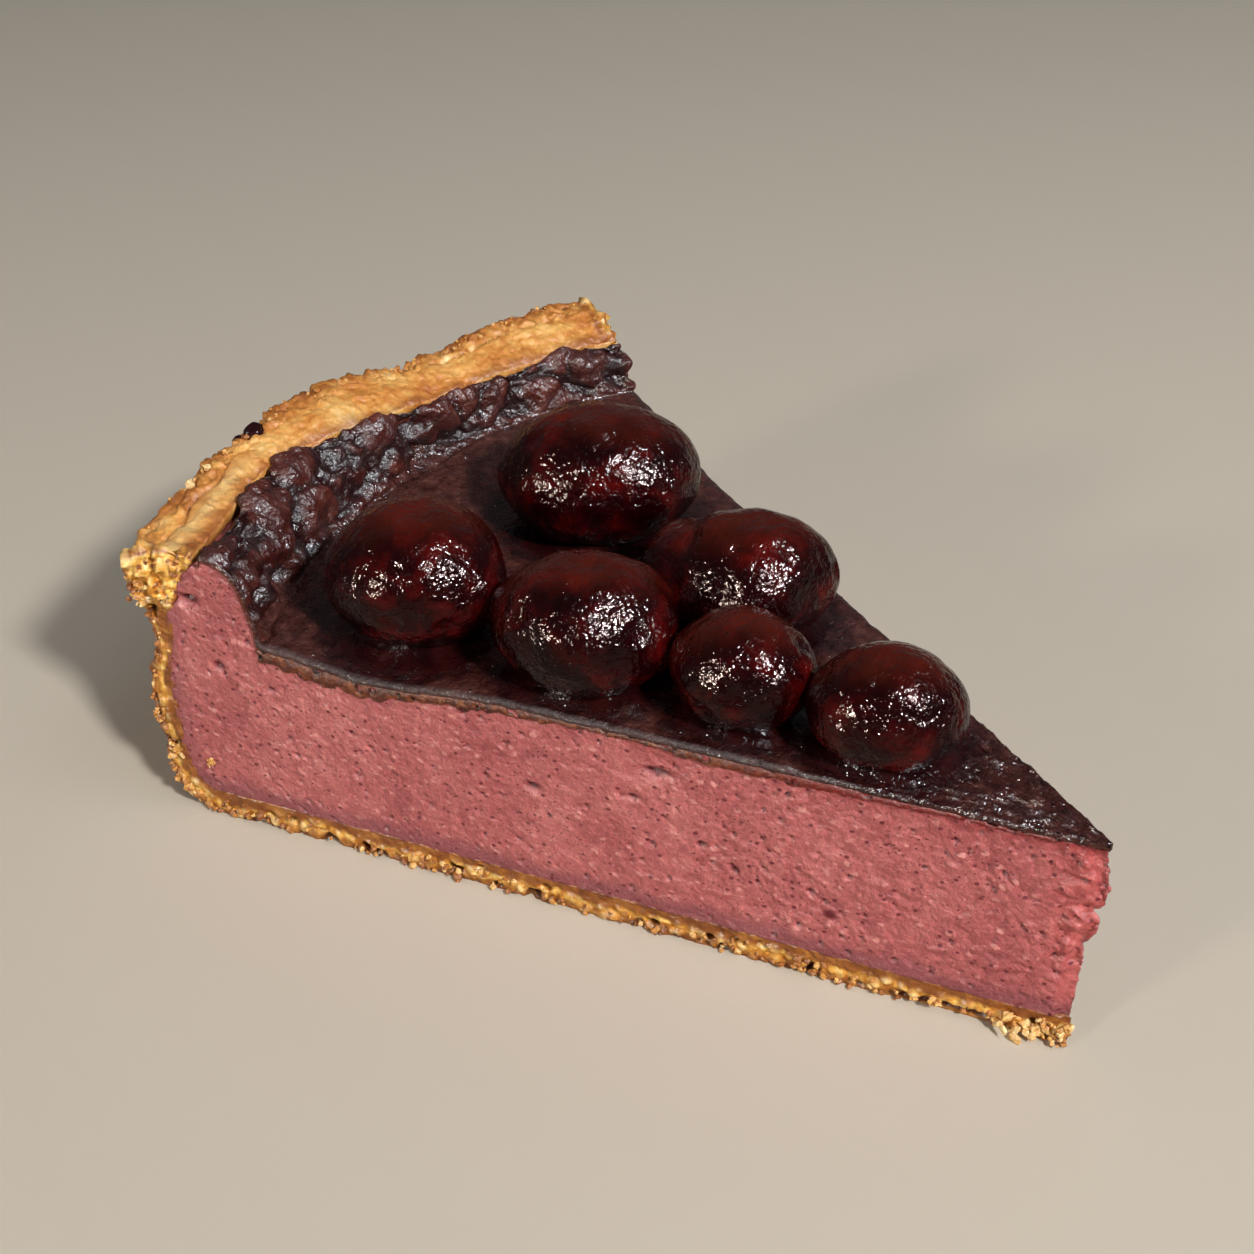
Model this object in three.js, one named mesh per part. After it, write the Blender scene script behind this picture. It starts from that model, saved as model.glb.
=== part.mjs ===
// Slice of a fruit-topped custard tart, millimetres, +Z up.
// The slice is a wedge: +X points along its middle to the cut tip, the pastry
// rim is at -X, and the two cut faces are the planes through the tip at
// -WEDGE/2 (towards -Y) and +WEDGE/2 (towards +Y).
// Everything is worked out in polar form round the tip: r is the distance from
// the tip, a the angle from the middle, z the height over the resting face.
import * as THREE from 'three';
import { mergeVertices } from 'three/addons/utils/BufferGeometryUtils.js';

// ---------------------------------------------------------------- dimensions
const RAD = Math.PI / 180;
const TIP_X = 55.75;            // where the tip stands, so that the origin is the
const TIP_Y = -0.91;            // middle of the slice's footprint
const WEDGE = 42.2 * RAD;       // angle between the two cuts
const TART_RADIUS = 100;        // outer edge of the rim
const CENTRE_R = 10;            // the tart's middle lies this far behind the tip
const CENTRE_OFF = 6;           // and this far to +Y: the slice was cut off-centre

const BASE_THICK = 3.5;         // pastry base
const WALL_THICK = 2.5;         // pastry wall
const CORNER_W = 7.0;           // rounded lower outside corner, width and height
const CORNER_H = 6.0;
const WAIST_IN = 1.6;           // the wall draws in under the rim
const WAIST_Z = 25.0;
const RIM_FRONT_Z = 34.2;       // outer rim edge at the front cut, where it sags
const RIM_Z = 37.0;             // outer rim edge elsewhere
const RIM_IN_FRONT_Z = 37.0;    // inner rim edge at the front cut
const RIM_IN_BACK_Z = 35.6;     // inner rim edge at the back cut
const RIM_WIDTH = 9.4;          // rim top, outer edge to inner edge
const RIM_NARROW = [-9, 6, 3.0]; // where it is narrower: angle, reach, amount
const LIP_DROP = 9.0;           // the rim thickens inwards over this height
const RIM_SWELLS = [            // uneven places of the hand-made rim: angle, reach, amount
  [-2.5, 4.2, 1.1], [7.0, 3.4, -1.0], [17.0, 3.4, 0.7],
];

const FLAT_Z = 27.3;            // dark fruit topping, flat part
const SKIN_THICK = 1.0;
const SLOPE_THICK = 1.5;        // where it climbs the rim it is thicker and blistered
const DIP = 1.5;                // shallow dip along the front cut
const DIP_R = 77;
const DIP_REACH = 9;
const CREASE_FRONT_Z = 27.1;    // foot of the slope at the front and the back cut
const CREASE_BACK_Z = 29.9;
const CREASE_IN = 12.7;         // foot of the slope, measured in from the outer edge
const BLISTER = 0.5;            // height of the blisters on the slope

const GAP = 0.32;               // between pieces that touch
const BLUNT_FRONT = 2.4;        // the custard's tip is broken off bluntly
const BLUNT_BACK = 0.9;

// six glazed fruits: place on the topping from the tip, half length, half width,
// half height; long side turned to FRUIT_TURN
const FRUIT_TURN = 41.9 * RAD;
const FRUITS = [
  { x: -74.1, y: 10.3, l: 12.1, w: 9.8, h: 8.0 },
  { x: -74.6, y: -18.1, l: 9.6, w: 9.1, h: 7.8 },
  { x: -54.6, y: -12.7, l: 9.2, w: 8.3, h: 7.3 },
  { x: -47.6, y: 5.4, l: 9.5, w: 7.9, h: 7.3 },
  { x: -38.3, y: -7.0, l: 7.0, w: 6.8, h: 6.1 },
  { x: -24.2, y: -2.3, l: 7.9, w: 6.9, h: 6.0 },
];
const SUNK = 0.16;              // how much of its half height a fruit has settled

// ---------------------------------------------------------------- form helpers
const smooth = (lo, hi, v) => {
  const t = Math.min(1, Math.max(0, (v - lo) / (hi - lo)));
  return t * t * (3 - 2 * t);
};
const bump = (v, mid, reach) => Math.exp(-(((v - mid) / reach) ** 2));
const mix = (p, q, t) => p + (q - p) * t;
const side = (a) => a / (WEDGE / 2);              // -1 front cut ... +1 back cut

// distance from the tip to the tart's outer circle along angle a
function reach(a) {
  const along = CENTRE_R * Math.cos(a) + CENTRE_OFF * Math.sin(a);
  const c2 = CENTRE_R ** 2 + CENTRE_OFF ** 2;
  return along + Math.sqrt(along * along - c2 + TART_RADIUS ** 2);
}
const swell = (a) => RIM_SWELLS.reduce((s, [m, w, k]) => s + k * bump(a / RAD, m, w), 0);
const scallop = (a) => 0.3 * Math.sin(a / RAD * 1.05 + 0.6) + 0.22 * Math.sin(a / RAD * 1.7 + 2.1);

const rimOutZ = (a) => mix(RIM_FRONT_Z, RIM_Z, smooth(-1.02, -0.45, side(a))) + 0.6 * swell(a);
const rimInZ = (a) => mix(RIM_IN_FRONT_Z, RIM_IN_BACK_Z, smooth(-1, 1, side(a))) + 0.3 * swell(a);
const creaseZ = (a) => mix(CREASE_FRONT_Z, CREASE_BACK_Z, smooth(-1.1, 0.9, side(a)));
const rimWidth = (a) => RIM_WIDTH - RIM_NARROW[2] * bump(a / RAD, RIM_NARROW[0], RIM_NARROW[1]);
const creaseIn = (a) => CREASE_IN + 2.7 * side(a) ** 2 - 1.05 * side(a);

// how far the outside of the wall lies inside the outer circle, at height z
function outerInset(z, a) {
  const corner = z < CORNER_H ? CORNER_W * (1 - Math.sqrt(1 - (1 - z / CORNER_H) ** 2)) : 0;
  return 1.1 + corner + WAIST_IN * bump(z, WAIST_Z, 4) - 0.5 * bump(z, 15, 5)
    - smooth(27, 33, z) * (1.1 + swell(a) + scallop(a));
}
// the same for the inside of the wall
function innerInset(z, a) {
  const foot = z < 9.5 ? 4.6 * (1 - Math.sqrt(1 - Math.min(1, (9.5 - z) / 6.3) ** 2)) : 0;
  const lip = (rimWidth(a) - WALL_THICK - 2.8) * smooth(rimInZ(a) - LIP_DROP - 1, rimInZ(a) - 1.2, z);
  return 1.1 + WALL_THICK + foot + 0.9 * bump(z, WAIST_Z, 4) + lip + 0.8 * smooth(22, 28, z);
}

// upper face of the topping on its flat part
function flatZ(r, a) {
  const foot = reach(a) - creaseIn(a);
  const rise = (creaseZ(a) - FLAT_Z) * smooth(foot - 24, foot, r);
  const dip = DIP * bump(r, DIP_R, DIP_REACH) * (1 - smooth(-1, 0.1, side(a)));
  return FLAT_Z + rise - dip;
}
// upper face of the topping from the rim down to the foot of the slope, a rounded
// shoulder with a slight flare at its foot: t = 0 at the rim, 1 at the foot
function slopePoint(t, a, blister) {
  const top = rimInZ(a) - 0.1, start = rimWidth(a) + 0.75;
  const fall = top - flatZ(reach(a) - creaseIn(a), a);
  const out = 0.92 * Math.sin(Math.PI * t / 2) + 0.08 * smooth(0.8, 1, t);
  const lumps = blister * Math.sin(Math.PI * t) * (Math.sin(a / RAD * 1.1 + 5 * t) + 0.6 * Math.sin(a / RAD * 1.9 - 9 * t));
  return [reach(a) - mix(start, creaseIn(a), out) - lumps * 0.5, top - fall * (1 - Math.cos(Math.PI * t / 2)) + lumps * 0.6];
}

// moves an open line of [r, z] points sideways by dist(i); positive is down and out
function offsetLine(points, dist) {
  return points.map((p, i) => {
    const q = points[Math.max(0, i - 1)], s = points[Math.min(points.length - 1, i + 1)];
    const dr = s[0] - q[0], dz = s[1] - q[1], len = Math.hypot(dr, dz);
    return [p[0] - (dz / len) * dist(i), p[1] + (dr / len) * dist(i)];
  });
}

// ---------------------------------------------------------------- cross-sections
// each gives one closed outline of [r, z] points, anticlockwise, at angle a
const bluntness = (a, front, back) => mix(front, back, (side(a) + 1) / 2);

function crustSection(a) {
  const out = [], R = reach(a), tip = bluntness(a, 1.6, 0.6);
  for (const f of [0, 0.3, 0.65, 1]) out.push([mix(tip, R - 1.1 - CORNER_W, f), 0]);
  const zo = rimOutZ(a), zi = rimInZ(a);
  for (const z of [0.3, 1.1, 2.4, 4.2, 7, 11, 15, 19, 22, 25, 28]) out.push([R - outerInset(z, a), z]);
  for (const f of [0.4, 0.8]) { const z = mix(28, zo, f); out.push([R - outerInset(z, a), z]); }
  const outer = outerInset(zo, a);
  const width = rimWidth(a);
  out.push([R - outer - 0.25, zo]);
  for (const f of [0.14, 0.4, 0.68, 0.9]) {
    out.push([R - mix(outer, width, f), mix(zo, zi, f) + 0.7 * Math.sin(Math.PI * f)]);
  }
  out.push([R - width, zi - 0.5]);
  out.push([R - width + 0.25, zi - 1.7]);
  const steps = 12;
  for (let i = 1; i <= steps; i++) {
    const z = mix(zi - 2.6, BASE_THICK, (i / steps) ** 0.93);
    out.push([R - innerInset(z, a), z]);
  }
  for (const f of [0.35, 0.7, 1]) out.push([mix(R - innerInset(BASE_THICK, a), tip, f), BASE_THICK]);
  return out;
}

// the topping's face, from the rim to a tip at distance tip
const SLOPE_STEPS = 9, FLAT_STEPS = 13;
function toppingLine(a, tip, blister) {
  const line = [], foot = reach(a) - creaseIn(a);
  for (let i = 0; i <= SLOPE_STEPS; i++) line.push(slopePoint(i / SLOPE_STEPS, a, blister));
  for (let i = 1; i <= FLAT_STEPS; i++) {
    const r = mix(foot, tip, (i / FLAT_STEPS) ** 1.2);
    line.push([r, flatZ(r, a)]);
  }
  return line;
}
const thickness = (i) => mix(SLOPE_THICK, SKIN_THICK, smooth(SLOPE_STEPS - 3, SLOPE_STEPS + 1, i));

function toppingSection(a) {
  const upper = toppingLine(a, 0.7, BLISTER);
  const lower = offsetLine(toppingLine(a, 0.7, 0), thickness);
  lower[0] = [upper[0][0] - 0.05, upper[0][1] - SLOPE_THICK];
  lower[lower.length - 1][0] = 0.7;
  return [...upper, ...lower.reverse()];
}

function custardSection(a) {
  const out = [], R = reach(a), tip = bluntness(a, BLUNT_FRONT, BLUNT_BACK);
  const bottom = BASE_THICK + GAP, outerFoot = R - innerInset(BASE_THICK, a) - 0.6;
  for (const f of [0, 0.35, 0.7, 1]) out.push([mix(tip, outerFoot, f), bottom]);
  const shoulder = rimInZ(a) - 3.6, steps = 9;
  for (let i = 1; i <= steps; i++) {
    const z = mix(bottom, shoulder, i / steps);
    out.push([R - innerInset(z - 0.25, a) - GAP - 0.12, z]);
  }
  const under = offsetLine(toppingLine(a, tip, 0), (i) => thickness(i) + GAP);
  under[under.length - 1][0] = tip;
  out.push(...under.slice(2));
  return out;
}

// ---------------------------------------------------------------- solids
const place = (r, a, z) => [TIP_X - r * Math.cos(a), TIP_Y + r * Math.sin(a), z];

// sweeps a cross-section from the front cut to the back cut and closes both cuts
function sweep(section, steps) {
  const rows = [];
  for (let i = 0; i <= steps; i++) rows.push(section(mix(-WEDGE / 2, WEDGE / 2, i / steps)));
  const count = rows[0].length;
  const pos = [], index = [];
  rows.forEach((row, i) => {
    const a = mix(-WEDGE / 2, WEDGE / 2, i / steps);
    for (const [r, z] of row) pos.push(...place(r, a, z));
  });
  const id = (i, k) => i * count + (k % count);
  for (let i = 0; i < steps; i++) {
    for (let k = 0; k < count; k++) {
      index.push(id(i, k), id(i, k + 1), id(i + 1, k + 1), id(i, k), id(i + 1, k + 1), id(i + 1, k));
    }
  }
  for (const end of [0, steps]) {
    const outline = rows[end].map(([r, z]) => new THREE.Vector2(r, z));
    for (const [p, q, s] of THREE.ShapeUtils.triangulateShape(outline, [])) {
      const [A, B, C] = [outline[p], outline[q], outline[s]];
      const ccw = (B.x - A.x) * (C.y - A.y) - (B.y - A.y) * (C.x - A.x) > 0;
      const flip = end === 0 ? ccw : !ccw;
      index.push(id(end, p), id(end, flip ? s : q), id(end, flip ? q : s));
    }
  }
  const geometry = new THREE.BufferGeometry();
  geometry.setAttribute('position', new THREE.Float32BufferAttribute(pos, 3));
  geometry.setIndex(index);
  geometry.computeVertexNormals();
  return geometry;
}

// a glazed fruit: a slumped ball with a dimpled crown, its foot laid on the topping
function fruit({ x, y, l, w, h }, number) {
  let geometry = new THREE.SphereGeometry(1, 16, 11);
  geometry.deleteAttribute('normal');
  geometry.deleteAttribute('uv');
  geometry = mergeVertices(geometry, 1e-4);
  geometry.rotateX(Math.PI / 2);                 // poles up and down
  const p = geometry.attributes.position;
  const mid = FLAT_Z + h * (1 - SUNK);
  const c = Math.cos(FRUIT_TURN), s = Math.sin(FRUIT_TURN);
  for (let i = 0; i < p.count; i++) {
    const X = p.getX(i), Y = p.getY(i), Z = p.getZ(i);
    const turn = Math.atan2(Y, X);
    const girth = 1 - 0.03 * Z + 0.012 * Math.sin(3 * turn + number * 1.7) + 0.01 * Math.sin(5 * turn - number);
    const crown = 1 - 0.07 * bump(Math.hypot(X, Y), 0, 0.28) * (Z > 0 ? 1 : 0);
    const u = X * l * girth, v = Y * w * girth;
    const px = x + u * c - v * s, py = y + u * s + v * c;
    const r = Math.hypot(px, py), a = Math.atan2(py, -px);
    const pz = Math.max(mid + Z * h * crown, flatZ(r, a) + GAP);
    p.setXYZ(i, TIP_X + px, TIP_Y + py, pz);
  }
  geometry.computeVertexNormals();
  return geometry;
}

// ---------------------------------------------------------------- the slice
const slice = new THREE.Group();
function add(name, geometry, color, roughness) {
  const mesh = new THREE.Mesh(geometry, new THREE.MeshStandardMaterial({ color, roughness, metalness: 0 }));
  mesh.name = name;
  slice.add(mesh);
  return mesh;
}

add('crust', sweep(crustSection, 36), 0xc98a35, 0.85);
add('custard', sweep(custardSection, 30), 0xb05c60, 0.55);
add('topping', sweep(toppingSection, 30), 0x2c1418, 0.35);
FRUITS.forEach((f, i) => add(`berry_${i + 1}`, fruit(f, i + 1), 0x2a0306, 0.12));

export default slice;
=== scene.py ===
import math

import bpy
import numpy as np
from mathutils import Matrix, Vector
from mathutils.geometry import delaunay_2d_cdt


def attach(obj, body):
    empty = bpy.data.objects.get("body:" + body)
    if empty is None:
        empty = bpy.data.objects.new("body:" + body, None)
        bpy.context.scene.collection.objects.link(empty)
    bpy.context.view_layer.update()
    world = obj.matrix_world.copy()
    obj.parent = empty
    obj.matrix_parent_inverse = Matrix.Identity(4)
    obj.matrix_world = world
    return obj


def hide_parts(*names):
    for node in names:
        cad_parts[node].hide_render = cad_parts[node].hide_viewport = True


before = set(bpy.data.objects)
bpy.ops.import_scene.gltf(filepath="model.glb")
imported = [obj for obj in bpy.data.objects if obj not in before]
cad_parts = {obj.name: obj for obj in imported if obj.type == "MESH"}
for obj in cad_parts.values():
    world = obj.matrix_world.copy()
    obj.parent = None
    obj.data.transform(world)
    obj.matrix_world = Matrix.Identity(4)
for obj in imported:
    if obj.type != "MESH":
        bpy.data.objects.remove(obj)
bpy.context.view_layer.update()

# All lengths below are millimetres round the cut tip: r is the distance from the tip,
# a the angle from the middle of the slice, z the height over the resting face.
# They become metres only when a mesh is written.
MM = 0.001
RAD = math.pi / 180
TIP_X, TIP_Y = 55.75, -0.91
WEDGE = 42.2 * RAD
HALF = WEDGE / 2
TART_RADIUS, CENTRE_R, CENTRE_OFF = 100.0, 10.0, 6.0
BASE_THICK, WALL_THICK = 3.5, 2.5
CORNER_W, CORNER_H = 7.0, 6.0
WAIST_IN, WAIST_Z = 1.6, 25.0
RIM_FRONT_Z, RIM_Z = 34.2, 37.0
RIM_IN_FRONT_Z, RIM_IN_BACK_Z = 37.0, 35.6
RIM_WIDTH = 9.4
RIM_NARROW = (-9.0, 6.0, 3.0)
LIP_DROP = 9.0
RIM_SWELLS = ((-2.5, 4.2, 1.1), (7.0, 3.4, -1.0), (17.0, 3.4, 0.7))
FLAT_Z = 27.3
SKIN_THICK, SLOPE_THICK = 1.0, 1.5
DIP, DIP_R, DIP_REACH = 1.5, 77.0, 9.0
CREASE_FRONT_Z, CREASE_BACK_Z, CREASE_IN = 27.1, 29.9, 12.7
FRUIT_TURN = 41.9 * RAD
FRUITS = (  # x, y, half length, half width, half height
    (-74.1, 10.3, 12.1, 9.8, 8.0),
    (-74.6, -18.1, 9.6, 9.1, 7.8),
    (-54.6, -12.7, 9.2, 8.3, 7.3),
    (-47.6, 5.4, 9.5, 7.9, 7.3),
    (-38.3, -7.0, 7.0, 6.8, 6.1),
    (-24.2, -2.3, 7.9, 6.9, 6.0),
)
SUNK = 0.16


# ------------------------------------------------------------------ form helpers
def smooth(lo, hi, v):
    t = np.clip((v - lo) / (hi - lo), 0.0, 1.0)
    return t * t * (3 - 2 * t)


def bump(v, mid, reach_):
    return np.exp(-(((v - mid) / reach_) ** 2))


def mix(p, q, t):
    return p + (q - p) * t


def side(a):
    return a / HALF


def reach(a):
    along = CENTRE_R * np.cos(a) + CENTRE_OFF * np.sin(a)
    c2 = CENTRE_R ** 2 + CENTRE_OFF ** 2
    return along + np.sqrt(along * along - c2 + TART_RADIUS ** 2)


def swell(a):
    return sum(k * bump(a / RAD, m, w) for m, w, k in RIM_SWELLS)


def scallop(a):
    return 0.3 * np.sin(a / RAD * 1.05 + 0.6) + 0.22 * np.sin(a / RAD * 1.7 + 2.1)


def rim_out_z(a):
    return mix(RIM_FRONT_Z, RIM_Z, smooth(-1.02, -0.45, side(a))) + 0.6 * swell(a)


def rim_in_z(a):
    return mix(RIM_IN_FRONT_Z, RIM_IN_BACK_Z, smooth(-1, 1, side(a))) + 0.3 * swell(a)


def crease_z(a):
    return mix(CREASE_FRONT_Z, CREASE_BACK_Z, smooth(-1.1, 0.9, side(a)))


def rim_width(a):
    return RIM_WIDTH - RIM_NARROW[2] * bump(a / RAD, RIM_NARROW[0], RIM_NARROW[1])


def crease_in(a):
    return CREASE_IN + 2.7 * side(a) ** 2 - 1.05 * side(a)


def corner_inset(z):
    return np.where(z < CORNER_H, CORNER_W * (1 - np.sqrt(np.clip(1 - (1 - z / CORNER_H) ** 2, 0, 1))), 0.0)


def wall_inset(z, a):
    return (1.1 + WAIST_IN * bump(z, WAIST_Z, 4) - 0.5 * bump(z, 15, 5)
            - smooth(27, 33, z) * (1.1 + swell(a) + scallop(a)))


def inner_inset(z, a):
    foot = np.where(z < 9.5, 4.6 * (1 - np.sqrt(1 - np.clip((9.5 - z) / 6.3, 0, 1) ** 2)), 0.0)
    lip = (rim_width(a) - WALL_THICK - 2.8) * smooth(rim_in_z(a) - LIP_DROP - 1, rim_in_z(a) - 1.2, z)
    return 1.1 + WALL_THICK + foot + 0.9 * bump(z, WAIST_Z, 4) + lip + 0.8 * smooth(22, 28, z)


def flat_z(r, a):
    foot = reach(a) - crease_in(a)
    rise = (crease_z(a) - FLAT_Z) * smooth(foot - 24, foot, r)
    dip = DIP * bump(r, DIP_R, DIP_REACH) * (1 - smooth(-1, 0.1, side(a)))
    return FLAT_Z + rise - dip


def slope_point(t, a):
    top, start = rim_in_z(a) - 0.1, rim_width(a) + 0.75
    fall = top - flat_z(reach(a) - crease_in(a), a)
    full = mix(0.74, 1.0, smooth(-1.0, -0.3, side(a)))      # below 1: a squarer shoulder, as at the front cut
    out = 0.92 * np.sin(np.pi * t / 2) ** full + 0.08 * smooth(0.8, 1, t)
    return reach(a) - mix(start, crease_in(a), out), top - fall * (1 - np.cos(np.pi * t / 2).clip(0, 1) ** full)


def place(r, a, z):
    return np.stack([TIP_X - r * np.cos(a), TIP_Y + r * np.sin(a), z + 0 * r], -1)


# ------------------------------------------------------------------ noise
def lattice(i, j, k, seed):
    h = (i.astype(np.uint32) * np.uint32(0x9E3779B1)) ^ (j.astype(np.uint32) * np.uint32(0x85EBCA77)) \
        ^ (k.astype(np.uint32) * np.uint32(0xC2B2AE3D)) ^ np.uint32((seed * 0x27D4EB2F) & 0xFFFFFFFF)
    h ^= h >> np.uint32(15)
    h *= np.uint32(0x2C1B3C6D)
    h ^= h >> np.uint32(12)
    h *= np.uint32(0x297A2D39)
    h ^= h >> np.uint32(15)
    return h


def noise(p, seed=0):
    """Gradient noise at the points p, roughly -1 to 1."""
    b = np.floor(p).astype(np.int64)
    f = p - b
    w = f * f * f * (f * (f * 6 - 15) + 10)
    total = np.zeros(len(p))
    for dx in (0, 1):
        wx = w[:, 0] if dx else 1 - w[:, 0]
        for dy in (0, 1):
            wy = w[:, 1] if dy else 1 - w[:, 1]
            for dz in (0, 1):
                wz = w[:, 2] if dz else 1 - w[:, 2]
                h = lattice(b[:, 0] + dx, b[:, 1] + dy, b[:, 2] + dz, seed)
                gx = (h & np.uint32(1023)) / 511.5 - 1
                gy = ((h >> np.uint32(10)) & np.uint32(1023)) / 511.5 - 1
                gz = ((h >> np.uint32(20)) & np.uint32(1023)) / 511.5 - 1
                total += wx * wy * wz * (gx * (f[:, 0] - dx) + gy * (f[:, 1] - dy) + gz * (f[:, 2] - dz))
    return total * 1.6


def fbm(p, octaves=3, gain=0.5, seed=0):
    total, amp, norm = np.zeros(len(p)), 1.0, 0.0
    for o in range(octaves):
        total += amp * noise(p * (2.03 ** o) + 17.3 * o, seed + o)
        norm += amp
        amp *= gain
    return total / norm


def ridged(p, octaves=3, gain=0.5, seed=0):
    """0 in broad hollows, 1 along thin crests."""
    total, amp, norm = np.zeros(len(p)), 1.0, 0.0
    for o in range(octaves):
        total += amp * (1 - np.minimum(1, np.abs(noise(p * (2.07 ** o) + 9.1 * o, seed + o)) * 2.2))
        norm += amp
        amp *= gain
    return total / norm


def cells(p, seed=0, jitter=0.95):
    """Distance to the nearest and the second nearest scattered point, and the nearest one's own number 0 to 1."""
    b = np.floor(p).astype(np.int64)
    f1, f2, own = np.full(len(p), 9.0), np.full(len(p), 9.0), np.zeros(len(p))
    for dx in (-1, 0, 1):
        for dy in (-1, 0, 1):
            for dz in (-1, 0, 1):
                h = lattice(b[:, 0] + dx, b[:, 1] + dy, b[:, 2] + dz, seed)
                q = np.stack([(h & np.uint32(1023)) / 1023, ((h >> np.uint32(10)) & np.uint32(1023)) / 1023,
                              ((h >> np.uint32(20)) & np.uint32(1023)) / 1023], 1)
                d = np.linalg.norm(b + (dx, dy, dz) + 0.5 + jitter * (q - 0.5) - p, axis=1)
                near = d < f1
                f2 = np.where(near, f1, np.minimum(f2, d))
                own = np.where(near, ((h >> np.uint32(7)) & np.uint32(4095)) / 4095, own)
                f1 = np.where(near, d, f1)
    return f1, f2, own


# ------------------------------------------------------------------ mesh building
class Shell:
    """Collects patches of vertices with named numbers per vertex, then welds what coincides."""

    def __init__(self, *names):
        self.names = names
        self.pos, self.att, self.faces, self.count = [], [], [], 0

    def points(self, pos, **att):
        pos = np.asarray(pos, float).reshape(-1, 3)
        rows = np.zeros((len(pos), len(self.names)))
        for k, v in att.items():
            rows[:, self.names.index(k)] = np.broadcast_to(v, (len(pos),)) if np.ndim(v) < 1 else np.ravel(v)
        self.pos.append(pos)
        self.att.append(rows)
        ids = np.arange(self.count, self.count + len(pos))
        self.count += len(pos)
        return ids

    def grid(self, pos, flip=False, **att):
        n, m = pos.shape[:2]
        ids = self.points(pos, **att).reshape(n, m)
        a, b, c, d = ids[:-1, :-1], ids[1:, :-1], ids[1:, 1:], ids[:-1, 1:]
        quads = np.stack([a, d, c, b] if flip else [a, b, c, d], -1).reshape(-1, 4)
        self.faces.append(quads)
        return ids

    def fill(self, outline, inner, to3d, flip=False, **att):
        """Fills a region of a parameter plane: outline is its closed border, inner the loose points in it."""
        flat = np.concatenate([outline, inner]) if len(inner) else np.asarray(outline)
        out = delaunay_2d_cdt([Vector(p) for p in flat], [], [list(range(len(outline)))], 1, 1e-7)
        uv = np.array([[v.x, v.y] for v in out[0]])
        for i, orig in enumerate(out[3]):
            if orig:
                uv[i] = flat[orig[0]]
        ids = self.points(to3d(uv), **{k: (v(uv) if callable(v) else v) for k, v in att.items()})
        tris = np.array([f for f in out[2] if len(f) == 3], int)
        p, q, s = (uv[tris[:, k]] for k in range(3))
        area = (q[:, 0] - p[:, 0]) * (s[:, 1] - p[:, 1]) - (q[:, 1] - p[:, 1]) * (s[:, 0] - p[:, 0])
        tris[area < 0] = tris[area < 0][:, ::-1]
        tris = ids[tris]
        if flip:
            tris = tris[:, ::-1]
        self.faces.append(np.concatenate([tris, tris[:, 2:3]], 1))

    def weld(self, tol=2e-3):
        pos, att = np.concatenate(self.pos), np.concatenate(self.att)
        _, first, back = np.unique(np.round(pos / tol).astype(np.int64), axis=0, return_index=True, return_inverse=True)
        back = back.reshape(-1)
        order = np.argsort(first)
        rank = np.empty_like(order)
        rank[order] = np.arange(len(order))
        # the numbers of welded vertices are averaged
        total = np.zeros((len(first), att.shape[1]))
        np.add.at(total, back, att)
        share = np.bincount(back, minlength=len(first))[:, None]
        self.P = pos[first[order]]
        self.A = (total / share)[order]
        faces = rank[back][np.concatenate(self.faces)]
        self.F = tidy(faces)
        return self

    def get(self, name):
        return self.A[:, self.names.index(name)]


def tidy(faces):
    """Drops faces that have shrunk to nothing; a quad with two like corners becomes a triangle (last corner repeated)."""
    out = []
    f = faces
    same = [(f[:, i] == f[:, (i + 1) % 4]) for i in range(4)]
    n_same = sum(s.astype(int) for s in same)
    cross = (f[:, 0] == f[:, 2]) | (f[:, 1] == f[:, 3])
    out.append(f[(n_same == 0) & ~cross])
    one = f[(n_same == 1) & ~cross]
    if len(one):
        keep = np.zeros((len(one), 3), int)
        for i, row in enumerate(one):
            seen = []
            for v in row:
                if v not in seen:
                    seen.append(v)
            keep[i] = seen[:3]
        out.append(np.concatenate([keep, keep[:, 2:3]], 1))
    return np.concatenate(out)


def normals(P, F):
    tri = F[:, 2] == F[:, 3]
    d1, d2 = P[F[:, 2]] - P[F[:, 0]], P[F[:, 3]] - P[F[:, 1]]
    n = np.cross(d1, d2)
    t = F[tri]
    n[tri] = np.cross(P[t[:, 1]] - P[t[:, 0]], P[t[:, 2]] - P[t[:, 0]])
    total = np.zeros_like(P)
    for k in range(4):
        use = ~tri if k == 3 else slice(None)
        np.add.at(total, F[use, k], n[use])
    return total / np.maximum(1e-12, np.linalg.norm(total, axis=1, keepdims=True))


def relax(P, F, weight, rounds=1):
    """Evens out the surface a little where weight is above 0."""
    e = np.concatenate([F[:, [0, 1]], F[:, [1, 2]], F[:, [2, 3]], F[:, [3, 0]]])
    e = e[e[:, 0] != e[:, 1]]
    deg = np.bincount(e[:, 0], minlength=len(P)) + np.bincount(e[:, 1], minlength=len(P))
    for _ in range(rounds):
        s = np.zeros_like(P)
        np.add.at(s, e[:, 0], P[e[:, 1]])
        np.add.at(s, e[:, 1], P[e[:, 0]])
        P = P + (s / np.maximum(1, deg)[:, None] - P) * np.asarray(weight).reshape(-1, 1)
    return P


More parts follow.
